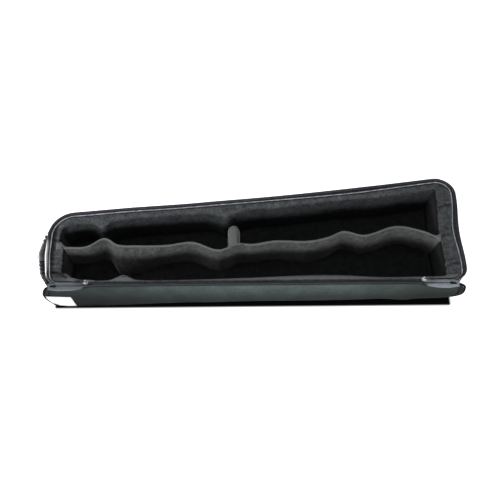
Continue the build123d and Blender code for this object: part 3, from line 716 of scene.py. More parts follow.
def insert_section(x):
    """The insert's surface across the case at x: the near land, the pocket and the far land."""
    along = x - POCKET_LEFT
    near_edge = hinge_side(x, EDGE_TURN_INSET, NEAR_EDGE_INSET)
    near_edge += (LIP_EDGE_Y - near_edge) * smooth_step(*LIP_LEFT, x) * (1 - smooth_step(*LIP_RIGHT, x))
    far_edge = zip_side(x, FAR_EDGE_INSET)
    near = max(NEAR_FACE_Y + curve_through(near_swell, along), near_edge + 5.0)
    far = zip_side(x, FAR_FACE_INSET) - curve_through(far_swell, along)
    middle = (near + far) / 2
    points = [
        (near_edge, 80.6), (near_edge + 0.5, 82.6), (near_edge + (near - near_edge) * 0.52, PLUSH_TOP + 0.1)]
    points += [(near + into, z) for into, z in NEAR_PROFILE] + [(middle, FLOOR_Z)]
    points += [(far - into, z) for into, z in FAR_PROFILE[::-1]] + [(far_edge - 1.6, 83.0), (far_edge, 81.6)]
    line = sampled(points, SECTION_STEPS)
    section = []
    for y, z in line:
        top = PLUSH_TOP if 3 < len(section) < len(line) - 3 else z
        z = top - (top - z) * depth_at(x, y)
        soft = 0.9 * wobble(x, y, z, 42.0) + 0.45 * wobble(x, y, z, 15.0, 3.0) + 0.16 * wobble(x, y, z, 5.0, 9.0)
        inner = smooth_step(0, 6, min(y - near_edge, far_edge - y))
        steep = smooth_step(PLUSH_TOP, 70.0, z)
        side = 1.0 if y < middle else -1.0
        fall = inner * (crease_depth(x, y) * (1 - steep) + 0.35 * (soft + 0.9) * (1 - steep))
        section.append((x, y + soft * steep * side, z - fall + (soft * 0.3 if z < 20 else 0.0)))
    return section


# Sections stand close together on the two end walls, where the plush turns down, and wider apart between them.
stations = [-350.2, -349.2, -347.5, -345.5, -343.5, -341.8]
stations += [-340.6 + 0.7 * i for i in range(38)]
stations += [-313.4 + 2.9 * i for i in range(217)]
stations += [316.5, 318.5, 320.0] + [321.2 + 0.7 * i for i in range(10)]
stations += [329.5 + 1.8 * i for i in range(11)] + [349.2, 350.2]
insert_rows = [[(*strayed(px, py), pz) for px, py, pz in insert_section(x)] for x in stations]
insert = smooth_mesh("plush_lining_of_the_insert", insert_rows, plush_finish)
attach(insert, "base")
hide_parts("plush_insert")

# Divider: a thin foam wall in a sleeve of the same plush, which waves along the pocket. Its foot swells
# towards the instrument, and its crest is a narrow roll that catches the light.
CREST_Z = 80.8
WALL_HALF = 4.4
DIVIDER_START, DIVIDER_SPACING, DIVIDER_SECTIONS = -342, 2.6, 259
# Its middle line, as distances from the pocket's narrow end and from the hinge side, and the swell of its foot and the
# lean of its top at these places.
crest_line = [
    (0, 75), (32, 77), (62, 93), (86, 76), (117, 73), (172, 75), (216, 80), (262, 64), (294, 77),
    (322, 75), (362, 84), (417, 82), (452, 90), (482, 103), (518, 95), (574, 112), (622, 102), (646, 89)]
foot_swell = [0, 0, 12, 24, 20, 1, 4, 6, 5, 1, 4, 8, 5, 3, 4, 4, 1, 1]
lean = [-4, -4.3, -4.8, -0.7, 0.5, -1.2, -0.6, -0.2, -1.2, -0.5, -3.4, -2.6, -4, -5, -4.8, -5, -5, -4.6]
# A side of the wall: height, how far it stands out, and its share of the foot's swell.
WALL_SIDE = [
    (14.5, 2.2, 1.0), (17.5, 0.9, 0.98), (24, 0.3, 0.9), (34, 0.1, 0.74), (44, 0.0, 0.58), (54, 0.0, 0.38),
    (63, -0.1, 0.2), (70, -0.5, 0.08)]
# Half of the rolled crest: distance from its middle, and height.
CREST_ROLL = [(3.6, 74.0), (2.9, 76.8), (2.25, 78.8), (1.45, 80.2), (0.5, 80.9)]

# The divider's plush is painted much paler on its crests, as a highlight.
crest_finish = plush("plush_of_the_divider", (0.029, 0.031, 0.030), (0.130, 0.135, 0.132), 1.0, 1.4, 0.7)


def divider_line(x):
    """Y of the divider's middle line, the swell of its foot, and how far its soft top leans towards the hinge."""
    places = [place for place, _ in crest_line]
    foot, tilt = (curve_through(list(zip(places, values)), x - POCKET_LEFT) for values in (foot_swell, lean))
    return HINGE_Y + curve_through(crest_line, x - POCKET_LEFT), foot, tilt


def divider_section(x):
    """The sleeve round the divider at x, from the foot on the hinge side over the crest to the other foot."""
    middle, foot, tilt = divider_line(x)
    into_end = smooth_step(-320, -338, x) + smooth_step(314, 328, x)
    flare = 6.0 * into_end**2
    crest = CREST_Z + 2.4 * into_end + 0.5 * wobble(x, 0, 0, 40.0)
    middle += 4.0 * hill(x, -338, 6)
    section = [(middle - WALL_HALF - out - foot * share - flare * z / RIM_Z, z) for z, out, share in WALL_SIDE]
    for side, roll in ((-1, CREST_ROLL), (1, CREST_ROLL[::-1])):
        section += [(middle + side * (out + flare * 0.9), crest - CREST_Z + z) for out, z in roll]
    section += [(middle + WALL_HALF + out + flare * z / RIM_Z, z) for z, out, _ in WALL_SIDE[::-1]]
    shaped = []
    for y, z in sampled(section, [2] * (len(section) - 1)):
        soft = 0.7 * wobble(x, y, z, 34.0, 5.0) + 0.35 * wobble(x, y, z, 12.0, 11.0) + 0.12 * wobble(x, y, z, 4.5, 2.0)
        body = smooth_step(CREST_Z, 72.0, z)
        y += tilt * (z / CREST_Z) ** 1.5
        shaped.append((x, y + soft * (0.25 + body) * (-1 if y < middle else 1), z + 0.25 * soft * (1 - body)))
    return shaped


divider_rows = [divider_section(DIVIDER_START + DIVIDER_SPACING * i) for i in range(DIVIDER_SECTIONS)]
divider = smooth_mesh("divider_sleeve", divider_rows, crest_finish, caps="both")
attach(divider, "base")
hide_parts("divider_wall")

# Cross post: a short stub of the same padded wall, with a round end, that splits the small pocket in two. It grows
# out of the divider by two hollow corners, and its sleeve is sewn shut over the top.
POST_X = -34.0
POST_HALF = 10.5
POST_TIP_Y = 70.5
POST_ROOT_Y = 23.5
POST_FLARES = 8.0, 17.0
POST_CORNER_STEPS, POST_FLANK_STEPS, POST_TIP_STEPS = 8, 6, 16
# The post's levels: how far each is drawn in, and its height.
POST_LEVELS = [
    (-1.6, 14.5), (-0.4, 18), (0, 26), (0, 38), (0, 50), (0, 60), (0.2, 68), (0.7, 73), (1.6, 76.6), (3.0, 79.2),
    (4.8, 80.6), (7.0, 81.1), (9.0, 81.2), (10.3, 81.2)]


def post_ring(inset, z):
    """The post's outline at one level: out of the divider by two hollow corners and round the tip."""
    half = POST_HALF - inset
    ring = []
    for side, flare in zip((-1, 1), POST_FLARES):
        shoulder = POST_ROOT_Y + flare
        flank = []
        for i in range(POST_CORNER_STEPS + 1):
            turn = math.radians(90 * i / POST_CORNER_STEPS)
            flank.append((POST_X + side * (half + flare * (1 - math.sin(turn))), shoulder - flare * math.cos(turn)))
        straight = POST_TIP_Y - POST_HALF - shoulder
        flank += [
            (POST_X + side * half, shoulder + straight * i / POST_FLANK_STEPS) for i in range(1, POST_FLANK_STEPS)]
        if side < 0:
            turns = [math.pi * i / POST_TIP_STEPS for i in range(POST_TIP_STEPS + 1)]
            tip = [(POST_X - half * math.cos(t), POST_TIP_Y - POST_HALF + half * math.sin(t)) for t in turns]
            ring = flank + tip
        else:
            ring += flank[::-1]
    return ring


post_rows = []
for inset, z in POST_LEVELS:
    row = []
    for x, y in post_ring(inset, z):
        soft = 0.5 * wobble(x, y, z, 16.0, 4.0) + 0.15 * wobble(x, y, z, 5.0, 6.0)
        middle, _, tilt = divider_line(x)
        y = max(y + soft * 0.5, middle + tilt * (z / CREST_Z) ** 1.5)
        row.append((x + soft * (1 if x > POST_X else -1) * min(1.0, (84 - z) / 10), y, z + 0.2 * soft))
    post_rows.append(row)
post = smooth_mesh("cross_post_sleeve", post_rows, crest_finish, around=True, caps="last")
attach(post, "base")
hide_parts("cross_post")

# Lid: a soft padded flap that hangs over the hinge side and is folded under the base. The outer nylon is one sheet
# over thin foam. Flat, the lid is the size of the case, and every layer is laid out flat and then draped.
LID_THICK = 5.4
SHELL_INSET, SHELL_NEAR_INSET = 2.6, 6.5
SHELL_INNER, SHELL_OUTER = 2.7, LID_THICK - 0.1
SHELL_EDGE_ROUND = 2.2
LINING_Y = -50.9
# Hung down, the flat lid's FOLD_FLAT_Y would reach the table. The tucked half lies UNDER_SHIFT from its flat place.
FOLD_FLAT_Y = 44.2
UNDER_SHIFT = -89.7
LANDS_Y, LANDS_FURTHER = -47.0, 10.5
# The bend: how far it runs on downwards at its top and inwards at its foot, and how much it thins the foam.
RUN_DOWN, RUN_UNDER, BEND_THINS = 0.55, 1.3, 0.45
BEND_START, BEND_END = 12.0, 58.0
# How high above the table the hanging half starts to curve under, along the case.
lower_edge = [
    (-358, 3), (-320, 3), (-250, 6), (-190, 11), (-130, 16), (-60, 18), (0, 20), (50, 20.5), (95, 21), (140, 23),
    (190, 25), (228, 30), (262, 22), (295, 29), (333, 32), (358, 36)]
# How far the flat lid's two ends are pushed along the case, at places across it.
NARROW_SHIFT = [
    (-60, 2), (-31, 2), (-6, -6), (8, -6.4), (16, -5.5), (24, -3.2), (32.5, 0.2), (37, 1.4), (41, 3.7), (48, 8),
    (60, 7), (80, 0), (160, 0)]
WIDE_SHIFT = [(-60, 0), (-38, 0), (-24, 4), (0, 7), (14, 3), (24, -3), (36, -8), (50, -8), (80, 0), (160, 0)]
# Points stand close together beside a layer's edges: distances in from its ends and from its hinge side, and shares
# of what is left at its zip side.
END_PLACES = 0.0, 0.3, 1.0, 2.2, 4.0, 7.0
NEAR_PLACES = 0.0, 0.35, 1.1, 2.4, 4.2
FAR_SHARES = 0.6, 0.34, 0.16, 0.05, 0.0
END_MARGIN, SIDE_MARGIN = 10, 7
HANG_STEPS, BEND_STEPS, TUCK_STEPS = 12, 22, 14


def pull_in(x, y):
    """The lid's ends spread out as it hangs, and are drawn in where it is folded."""
    narrow = smooth_step(-318, -358, x) * curve_through(NARROW_SHIFT, y)
    return narrow + smooth_step(300, 360, x) * curve_through(WIDE_SHIFT, y)


def drape(x, y, height):
    """Where a point of the flat lid lies: it hangs from the hinge, curves under the base and lies on the table.
    height is counted from the lining towards the nylon."""
    low = curve_through(lower_edge, x)
    start = FOLD_FLAT_Y - low
    lands = LANDS_Y + LANDS_FURTHER * smooth_step(1.0, 15.0, low)
    end = lands - UNDER_SHIFT
    moved = x + pull_in(x, y)
    if y <= start:
        return (moved, LINING_Y + height, FOLD_FLAT_Y - y)
    if y >= end:
        return (moved, y + UNDER_SHIFT, height)
    u = (y - start) / (end - start)
    top, foot = Vector((LINING_Y, low)), Vector((lands, 0.0))
    top_run, foot_run = Vector((0, -RUN_DOWN * low)), Vector((RUN_UNDER * (lands - LINING_Y), 0))
    point = top * ((1 + 2 * u) * (1 - u) ** 2) + top_run * (u * (1 - u) ** 2)
    point += foot * (u * u * (3 - 2 * u)) - foot_run * (u * u * (1 - u))
    slope = (top - foot) * (6 * u * u - 6 * u) + top_run * (1 - 4 * u + 3 * u * u) - foot_run * (2 * u - 3 * u * u)
    slope.normalize()
    thin = height * (1 - BEND_THINS * math.sin(math.pi * u))
    return (moved, point.x - slope.y * thin, point.y + slope.x * thin)


def lid_rows(inset, near_at, low, high, edge_round, crown=None, x_step=6.0):
    """Both faces of a layer of the lid, from height low to high, as closed rows along the case. near_at gives its
    hinge-side edge, edge_round how far in its edges are rounded, and crown how far its lower face swells."""
    left, right = NARROW_END + inset, WIDE_END - inset
    length = right - left - 2 * END_MARGIN
    count = round(length / x_step)
    xs = [left + d for d in END_PLACES] + [left + END_MARGIN + length * i / count for i in range(count + 1)]
    xs += [right - d for d in END_PLACES[::-1]]
    rows = []
    for x in xs:
        near, far = near_at(x), zip_side(x, inset)
        bend_end = min(BEND_END, far - 1.0)
        tuck = far - SIDE_MARGIN - bend_end if far - bend_end > 2 * SIDE_MARGIN else (far - bend_end) * 0.6
        hang = BEND_START - near - SIDE_MARGIN
        ys = [near + d for d in NEAR_PLACES]
        ys += [near + SIDE_MARGIN + hang * i / HANG_STEPS for i in range(HANG_STEPS + 1)]
        ys += [BEND_START + (bend_end - BEND_START) * i / BEND_STEPS for i in range(1, BEND_STEPS + 1)]
        ys += [bend_end + tuck * i / TUCK_STEPS for i in range(1, TUCK_STEPS + 1)]
        spare = far - ys[-1]
        ys += [far - spare * share for share in FAR_SHARES]
        front, back = [], []
        for y in ys:
            edge = min(x - left, right - x, y - near, far - y)
            share = math.sqrt(max(0.0, 1 - (1 - min(1.0, edge / edge_round)) ** 2))
            middle = (low + high) / 2
            puffed = low - (crown(x, y, edge) if crown else 0.0)
            front.append(drape(x, y, middle + (puffed - middle) * share))
            back.append(drape(x, y, middle + (high - middle) * share))
        rows.append(front + back[::-1][1:-1])
    return rows


def shell_near(x):
    """Y of the flat shell's edge along the hinge."""
    return hinge_side(x, SHELL_INSET, SHELL_NEAR_INSET)


shell_rows = lid_rows(SHELL_INSET, shell_near, SHELL_INNER, SHELL_OUTER, SHELL_EDGE_ROUND)
lid_shell = smooth_mesh("lid_outer_shell", shell_rows, cover_nylon, around=True, caps="both")
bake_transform(lid_shell)
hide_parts("front_nylon", "back_nylon", "front_pad", "back_pad")

# Lining of the lid: smooth grey-green cloth over the thick middle of the foam, turned in all round. It is a little
# slack, so it swells between its edges and ripples where the lid is bent.
LINING_INSET = 10.8
LINING_EDGE_Y = -38.5
LINING_FACE, LINING_BACK = 0.15, 3.0
LINING_EDGE_ROUND = 3.2
LINING_X_STEP = 5.0
LINING_STEP_LEFT, LINING_STEP_RIGHT = (-290, -266), (271, 295)

lining_finish, shade = new_finish("lining_cloth")
place = shade.node("TexCoord", (), 3)
weft = shade.node("TexWave", {"bands_direction": "X"}, 1, Vector=place, Scale=620.0)
warp = shade.node("TexWave", {"bands_direction": "Z"}, 1, Vector=place, Scale=620.0)
nap = shade.node("TexNoise", (), 0, Vector=place, Scale=380.0, Detail=4.0, Roughness=0.65)
clouds = shade.node("TexNoise", (), 0, Vector=place, Scale=26.0, Detail=3.0)
east, _, height = place.axes()
tone = (nap * 0.6 + clouds * 0.4).between(0.34, 0.66)
# Painted shade: the colour darkens towards the table and towards both ends of the lid.
lit = height.between(0.0, 0.085)
painted_shade_on_lining = (lit * lit * 0.62 + 0.19) * (east.between(-0.36, -0.04) * 0.7 + 0.3) * (east.between(0.34, 0.14) * 0.5 + 0.5)
grey_green = tone.mix(colour(0.062, 0.082, 0.078), colour(0.115, 0.148, 0.140))
thread = weft * 0.5 + warp * 0.5
surface = shade.node(
    "BsdfPrincipled", (), 0,
    Base_Color=painted_shade_on_lining.mix(colour(0.003, 0.004, 0.004), grey_green),
    Roughness=nap * 0.15 + 0.75,
    Normal=shade.node("Bump", (), 0, Strength=0.2, Distance=0.0004, Height=thread * 0.5 + nap * 0.5),
    Sheen_Weight=0.0, Specular_IOR_Level=0.06,
)
coat(lining_finish, surface)


def lining_near(x):
    """Y of the flat lining's edge along the hinge: it reaches further between the ends of the zip."""
    inner = hinge_side(x, LINING_INSET, LINING_INSET)
    between_zip_ends = smooth_step(*LINING_STEP_LEFT, x) * (1 - smooth_step(*LINING_STEP_RIGHT, x))
    return inner + (LINING_EDGE_Y - inner) * between_zip_ends


def lining_crown(x, y, edge):
    """How far the lining swells out from its flat shape at a distance from its edge."""
    slack = 1.0 + 0.7 * wobble(x, y, 0, 60.0, 1.0) + 0.35 * wobble(x, y * 2, 0, 19.0, 4.0)
    return smooth_step(0, 24, edge) * slack


lining_rows = lid_rows(
    LINING_INSET, lining_near, LINING_FACE, LINING_BACK, LINING_EDGE_ROUND, lining_crown, LINING_X_STEP)
lining = smooth_mesh("lid_lining_cushion", lining_rows, lining_finish, around=True, caps="both")
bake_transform(lining)
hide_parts("front_lining", "back_lining")

# Edge of the lid: piping, zip tape and coil, as on the rim, sewn on flat round the lid's three zip sides. They are
# draped with the lid.
LID_PIPING_RADIUS = 2.0
LID_PIPING_INSET, LID_PIPING_NEAR_INSET = 0.6, 7.0
LID_TAPE_THICK = 0.6
LID_COIL_INSET, LID_COIL_NEAR_INSET, LID_COIL_HEIGHT = 9.3, 9.6, 1.1


def lid_line(inset, near_inset, height):
    """A line round the zip sides of the flat lid, as (x, y, height)."""
    return [Vector((point.x, point.y, height)) for point in seam(inset, near_inset)]


def draped_rings(rings):
    """Rings of the flat lid, laid where the lid lies."""
    return [[drape(*point) for point in ring] for ring in rings]


# The lid's piping has darker colours than the rim's piping: painted shade.
lid_piping_finish = nylon("lid_piping_nylon", (0.006, 0.007, 0.009), (0.014, 0.015, 0.018), 1100.0, 0.9, 0.0, 0.02)
lid_piping_line = lid_line(LID_PIPING_INSET, LID_PIPING_NEAR_INSET, LID_THICK - LID_PIPING_RADIUS)
lid_piping_rings = draped_rings(tube(lid_piping_line, LID_PIPING_RADIUS))
lid_piping = smooth_mesh("lid_piping_cord", lid_piping_rings, lid_piping_finish, around=True, caps="both")
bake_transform(lid_piping)
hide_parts("front_piping", "back_piping")

# The lid's tape and coil use the rim tape's finish, whose colour is painted dark below the rim as shade.
lid_tape_lines = [lid_line(inset, near, height) for inset, near, height in (
    (2.7, 8.2, 2.3), (4.5, 8.8, 2.1), (6.4, 9.4, 2.2), (8.3, 10.0, 2.1), (9.9, 10.6, 2.2))]
lid_tape_rings = draped_rings(ribbon(lid_tape_lines, LID_TAPE_THICK))
lid_tape = smooth_mesh("lid_tape_ribbon", lid_tape_rings, tape_finish, around=True, caps="both")
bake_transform(lid_tape)
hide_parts("front_zip_tape", "back_zip_tape")

lid_coil_rings = draped_rings(toothed(lid_line(LID_COIL_INSET, LID_COIL_NEAR_INSET, LID_COIL_HEIGHT)))
lid_coil = smooth_mesh("lid_coil_teeth", lid_coil_rings, tape_finish, around=True, caps="both")
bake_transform(lid_coil)
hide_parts("front_zip_coil", "back_zip_coil")

# Hinge: a folded strip of the cover's nylon, sewn to the lip of the wall and to the lid's edge between the ends of
# the zip.
HINGE_LEFT, HINGE_RIGHT = -264.0, 269.0
HINGE_TAIL = 20.0
FLAT_BEYOND, FULL_WITHIN = 18, 8
HINGE_STEPS = 150
HINGE_TOP_Y = -45.6
HINGE_PROFILE = [
    (-42.6, 80.6), (-43.2, 82.2), (-43.8, 83.3), (-44.6, 84.1), (-45.6, 84.4), (-46.5, 84.2), (-47.2, 83.6),
    (-47.8, 82.7), (-48.4, 81.6), (-49.2, 80.4)]

hinge_nylon = nylon("hinge_nylon", (0.006, 0.007, 0.009), (0.026, 0.029, 0.035), 900.0, gloss=0.6)


def hinge_section(x):
    """The strip across the hinge at x: it flattens out at its two tails."""
    left = smooth_step(HINGE_LEFT - FLAT_BEYOND, HINGE_LEFT + FULL_WITHIN, x)
    inside = left * (1 - smooth_step(HINGE_RIGHT - FULL_WITHIN, HINGE_RIGHT + FLAT_BEYOND, x))
    outer = []
    for y, z in HINGE_PROFILE:
        ripple = 0.35 * wobble(x, y, z, 30.0, 8.0) + 0.15 * wobble(x, y, z, 9.0, 5.0)
        outer.append((x, y + ripple * 0.4, 82.0 + (z - 82.0) * (0.35 + 0.65 * inside) + ripple))
    inner = [(x, y * 0.9 + HINGE_TOP_Y * 0.1, z - 0.75) for x, y, z in outer[::-1]]
    return outer + inner


strip_length = HINGE_RIGHT - HINGE_LEFT + 2 * HINGE_TAIL
hinge_rows = [hinge_section(HINGE_LEFT - HINGE_TAIL + strip_length * i / HINGE_STEPS) for i in range(HINGE_STEPS + 1)]
hinge = smooth_mesh("hinge_fabric", hinge_rows, hinge_nylon, around=True, caps="both")
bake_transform(hinge)
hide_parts("hinge_strip")

# Zip ends: past each corner the two tapes run together to the slider, as a slack leaf of tape between the rim and
# the lid's edge. Each has painted light in its colour, and the right one is painted paler.
LEAF_CORNER_X = 349.0
LEAF_FOOT_Y = -51.9
LEAF_TOP_Z = 83.6
LEAF_DROP, LEAF_DROP_LESS = 11.5, 4.0
LEAF_THICK = 0.45
LEAF_STEPS, LEAF_STEPS_DOWN = 30, 10
LEAF_DARK, LEAF_LIGHT = (0.045, 0.052, 0.060), (0.120, 0.138, 0.152)


def zip_end(name, slider_x, corner_x, finish):
    """The leaf from a slider to its corner: it opens out towards the corner, and hangs over the lid's edge."""
    rows = []
    for i in range(LEAF_STEPS + 1):
        u = i / LEAF_STEPS
        x = slider_x + (corner_x - slider_x) * u
        wide = math.sin(min(1.0, u * 1.35) * math.pi / 2)
        curl = smooth_step(0.7, 1.0, u)
        top_y = hinge_side(x, COIL_INSET, COIL_NEAR_INSET) * (1 - curl) + (HINGE_Y + 1.0) * curl
        row = []
        for k in range(LEAF_STEPS_DOWN + 1):
            v = k / LEAF_STEPS_DOWN
            down = v * (0.6 + (LEAF_DROP - LEAF_DROP_LESS * curl) * wide)
            over = smooth_step(0.0, 5.0, down)
            y = top_y - 0.4 + (LEAF_FOOT_Y - top_y + 0.4) * over - 0.9 * wide * math.sin(math.pi * v)
            ripple = 0.35 * wobble(x, v * 9, 0, 14.0)
            row.append((x, y + ripple, LEAF_TOP_Z - down + math.sin(math.pi * min(1.0, v * 2)) * wide))
        rows.append(row + [(px, py + LEAF_THICK, pz - LEAF_THICK) for px, py, pz in row[::-1]])
    return smooth_mesh(name, rows, finish, around=True, caps="both")


# Painted light: each leaf's tape colours are scaled up, the right one's more.
for side, painted_brightness, slider_x, corner_x in (
    ("left", 1.1, SLIDER_LEFT_X + 3, -LEAF_CORNER_X), ("right", 2.2, SLIDER_RIGHT_X - 3, LEAF_CORNER_X),
):
    twill = woven_tape(f"{side}_leaf_twill", [painted_brightness * tone for tone in LEAF_DARK], [painted_brightness * tone for tone in LEAF_LIGHT])
    leaf = zip_end(f"{side}_zip_end_tape", slider_x, corner_x, twill)
    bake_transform(leaf)

# Label: a plain white woven patch, sewn flat on the lining near the narrow end. Its outer edge follows the lid's
# rounded corner.
LABEL_LEFT, LABEL_RIGHT = -354.4, -315.0
LABEL_TOP, LABEL_FOOT = -1.5, 37.5
LABEL_LEFT_LEAN, LABEL_RIGHT_LEAN, LABEL_CORNER = 2.6, 2.4, 6.0
LABEL_FACE, LABEL_BACK = 0.75, 0.15
LABEL_STEPS_DOWN, LABEL_STEPS_ACROSS = 14, 16

label_finish, shade = new_finish("label_cloth")
place = shade.node("TexCoord", (), 3)
rib = shade.node("TexWave", {"bands_direction": "Z"}, 1, Vector=place, Scale=560.0)
soil = shade.node("TexNoise", (), 0, Vector=place, Scale=60.0, Detail=3.0)
surface = shade.node(
    "BsdfPrincipled", (), 0,
    Base_Color=(rib * 0.4 + soil * 0.6).between(0.2, 0.8).mix(colour(0.78, 0.79, 0.79), colour(0.9, 0.9, 0.9)),
    Roughness=soil * 0.2 + 0.6, Normal=shade.node("Bump", (), 0, Strength=0.15, Distance=0.0003, Height=rib),
)
coat(label_finish, surface)


def label_point(x, y, lift):
    """A point of the label that lies lift above the lining, or above the zip tape where it passes the lining's edge."""
    edge = x - (NARROW_END + LINING_INSET)
    over = smooth_step(-2.0, 3.0, edge)
    height = LINING_FACE - lining_crown(x, y, edge) if edge > 0 else 0.1
    return drape(x, y, height * over + 0.35 * (1 - over) - lift)


label_rows = []
for i in range(LABEL_STEPS_DOWN + 1):
    u = i / LABEL_STEPS_DOWN
    y = LABEL_TOP + (LABEL_FOOT - LABEL_TOP) * u
    left = LABEL_LEFT + LABEL_LEFT_LEAN * u + LABEL_CORNER * smooth_step(0.7, 1.0, u)
    right = LABEL_RIGHT - LABEL_RIGHT_LEAN * (1 - u)
    xs = [left + (right - left) * k / LABEL_STEPS_ACROSS for k in range(LABEL_STEPS_ACROSS + 1)]
    label_rows.append([label_point(x, y, LABEL_FACE) for x in xs] + [label_point(x, y, LABEL_BACK) for x in xs[::-1]])
label = smooth_mesh("blank_label_patch", label_rows, label_finish, around=True, caps="both")
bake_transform(label)
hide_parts("blank_label")

# Zip sliders, pull tabs and rivets: die-cast zinc with nickel plating, scuffed by use. The sliders and the rivets
# are bright, and the tabs, which hang on the sliders' pins, are plated dark.
def refinish(node, finish):
    """Give a finish to a piece that is shown as the CAD has it."""
    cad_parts[node].data.materials.clear()
    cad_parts[node].data.materials.append(finish)


for name, dark, light, nodes in (
    ("bright_nickel", (0.82, 0.82, 0.83), (0.95, 0.95, 0.95), ("left_zip_slider", "right_zip_slider", "handle_rivets")),
    ("dark_nickel", (0.10, 0.10, 0.11), (0.24, 0.24, 0.25), ("left_pull_tab", "right_pull_tab")),
):
    plated, shade = new_finish(name)
    place = shade.node("TexCoord", (), 3)
    scuff = shade.node("TexNoise", (), 0, Vector=place, Scale=420.0, Detail=4.0, Roughness=0.7)
    surface = shade.node(
        "BsdfPrincipled", (), 0, Base_Color=scuff.between(0.35, 0.7).mix(colour(*dark), colour(*light)), Metallic=1.0,
        Roughness=scuff * 0.25 + 0.2, Normal=shade.node("Bump", (), 0, Strength=0.08, Distance=0.0002, Height=scuff),
    )
    coat(plated, surface)
    for node in nodes:
        refinish(node, plated)

# End handle: one flexible moulding of black rubbery plastic. The smooth grip is glossy with use and its colour is
# painted paler as a highlight, the ribs and the strip are duller, and the two mounts are riveted round the corners.
def moulded(name, dark, light, rough, grain, shine=1.5):
    """Moulded plastic of a fine grain, with patches made glossy by use. shine is how much they mirror."""
    material, shade = new_finish(name)
    place = shade.node("TexCoord", (), 3)
    speck = shade.node("TexNoise", (), 0, Vector=place, Scale=grain, Detail=4.0, Roughness=0.6)
    wear = shade.node("TexNoise", (), 0, Vector=place, Scale=60.0, Detail=3.0)
    surface = shade.node(
        "BsdfPrincipled", (), 0, Base_Color=wear.between(0.3, 0.7).mix(colour(*dark), colour(*light)),
        Roughness=wear * 0.2 + rough, Normal=shade.node("Bump", (), 0, Strength=0.2, Distance=0.0003, Height=speck),
        Coat_Weight=wear * 0.3, Coat_Roughness=0.25, Coat_IOR=shine,
    )
    return coat(material, surface)


# The grip's colours are painted paler than the ribs', as a highlight.
grip_plastic = moulded("grip_plastic", (0.03, 0.031, 0.034), (0.08, 0.082, 0.088), 0.25, 500.0, 3.2)
rib_plastic = moulded("rib_plastic", (0.008, 0.008, 0.010), (0.022, 0.023, 0.026), 0.4, 900.0)
mount_plastic = moulded("mount_plastic", (0.012, 0.013, 0.016), (0.045, 0.048, 0.055), 0.35, 900.0)
for node, finish in (
    ("handle_grip", grip_plastic), ("handle_ribs", rib_plastic), ("handle_strip", rib_plastic),
    ("handle_far_mount", mount_plastic), ("handle_near_mount", mount_plastic),
):
    refinish(node, finish)

# Carry strap on the zip side: flat woven webbing, 25 mm wide, sewn down at both ends. In between it bows off the wall,
# so that fingers go behind it.
STRAP_X = -31.0
STRAP_HALF = 168.5
STRAP_PATCH = 42.0
STRAP_BOW = 9.0
STRAP_OFF_WALL, STRAP_OVER_PUFF = 0.1, 1.25
STRAP_THICK = 1.8
STRAP_Z = 45.35
STRAP_STEPS = 140
# The webbing's section: heights from its middle, and distances from its inner face.
STRAP_SECTION = [
    (-12.5, 0.5), (-12.2, 0.1), (-6, 0.0), (0, 0.0), (6, 0.0), (12.2, 0.1), (12.5, 0.5), (12.5, 1.3), (12.2, 1.7),
    (8, 1.8), (4, 1.75), (0, 1.8), (-4, 1.75), (-8, 1.8), (-12.2, 1.7), (-12.5, 1.3)]

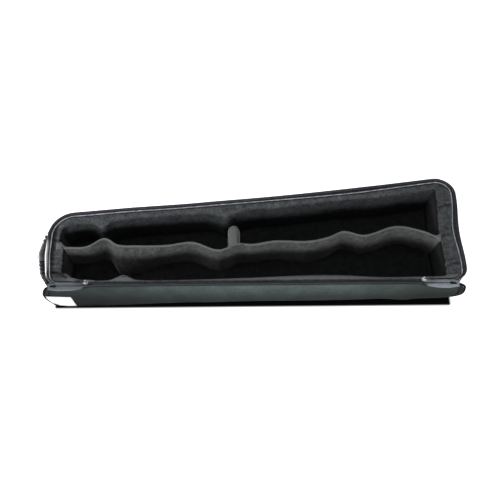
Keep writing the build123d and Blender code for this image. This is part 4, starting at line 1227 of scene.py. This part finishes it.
webbing, shade = new_finish("strap_webbing")
place = shade.node("TexCoord", (), 3)
ridges = shade.node("TexWave", {"bands_direction": "Z"}, 1, Vector=place, Scale=260.0, Distortion=0.4)
picks = shade.node("TexWave", {"bands_direction": "X"}, 1, Vector=place, Scale=420.0)
fray = shade.node("TexNoise", (), 0, Vector=place, Scale=160.0, Detail=3.0)
knit = ridges * 0.6 + picks * 0.4
lightness = (knit * 0.5 + fray * 0.5).between(0.2, 0.8)
surface = shade.node(
    "BsdfPrincipled", (), 0,
    Base_Color=lightness.mix(colour(0.009, 0.010, 0.013), colour(0.045, 0.048, 0.056)),
    Roughness=fray * 0.2 + 0.5, Normal=shade.node("Bump", (), 0, Strength=0.4, Distance=0.0006, Height=knit),
    Sheen_Weight=0.3,
)
coat(webbing, surface)


def strap_at(x):
    """Y of the strap's inner face."""
    reach = max(0.0, 1 - (abs(x - STRAP_X) / (STRAP_HALF - STRAP_PATCH)) ** 2)
    return zip_side(x) + STRAP_OVER_PUFF * (1 - reach) + STRAP_OFF_WALL + STRAP_BOW * reach**2


strap_rows = []
for i in range(STRAP_STEPS + 1):
    x = STRAP_X - STRAP_HALF + 2 * STRAP_HALF * i / STRAP_STEPS
    y = strap_at(x)
    strap_rows.append([(x, y + out, STRAP_Z + up) for up, out in STRAP_SECTION])
strap = smooth_mesh("carry_strap_webbing", strap_rows, webbing, around=True, caps="both")
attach(strap, "base")
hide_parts("carry_strap")

# Sleeve of the carry strap: foam in the cover's nylon, folded round the webbing and sewn shut along its lower edge.
# It is as wide as the webbing, with soft rounded edges and ends.
SLEEVE_HALF = 55.0
SLEEVE_HALF_WIDE = 13.4
SLEEVE_THIN, SLEEVE_SWELL = 1.6, 1.35
SLEEVE_STEPS, SLEEVE_SIDES = 48, 28

sleeve_rows = []
for i in range(SLEEVE_STEPS + 1):
    u = -1 + 2 * i / SLEEVE_STEPS
    x = STRAP_X + SLEEVE_HALF * u
    y = strap_at(x) + STRAP_THICK / 2
    end = math.sqrt(max(0.0, 1 - abs(u) ** 14))
    ring = []
    for k in range(SLEEVE_SIDES):
        turn = 2 * math.pi * k / SLEEVE_SIDES
        flat = math.copysign(abs(math.cos(turn)) ** 0.45, math.cos(turn))
        tall = math.copysign(abs(math.sin(turn)) ** 0.8, math.sin(turn))
        thick = SLEEVE_THIN + SLEEVE_SWELL * end + 0.25 * wobble(x, 0, turn * 4, 18.0)
        ring.append((x, y + thick * tall, STRAP_Z + (SLEEVE_HALF_WIDE + end) * flat))
    sleeve_rows.append(ring)
sleeve = smooth_mesh("carry_sleeve_pad", sleeve_rows, cover_nylon, around=True, caps="both")
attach(sleeve, "base")
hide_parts("carry_sleeve")
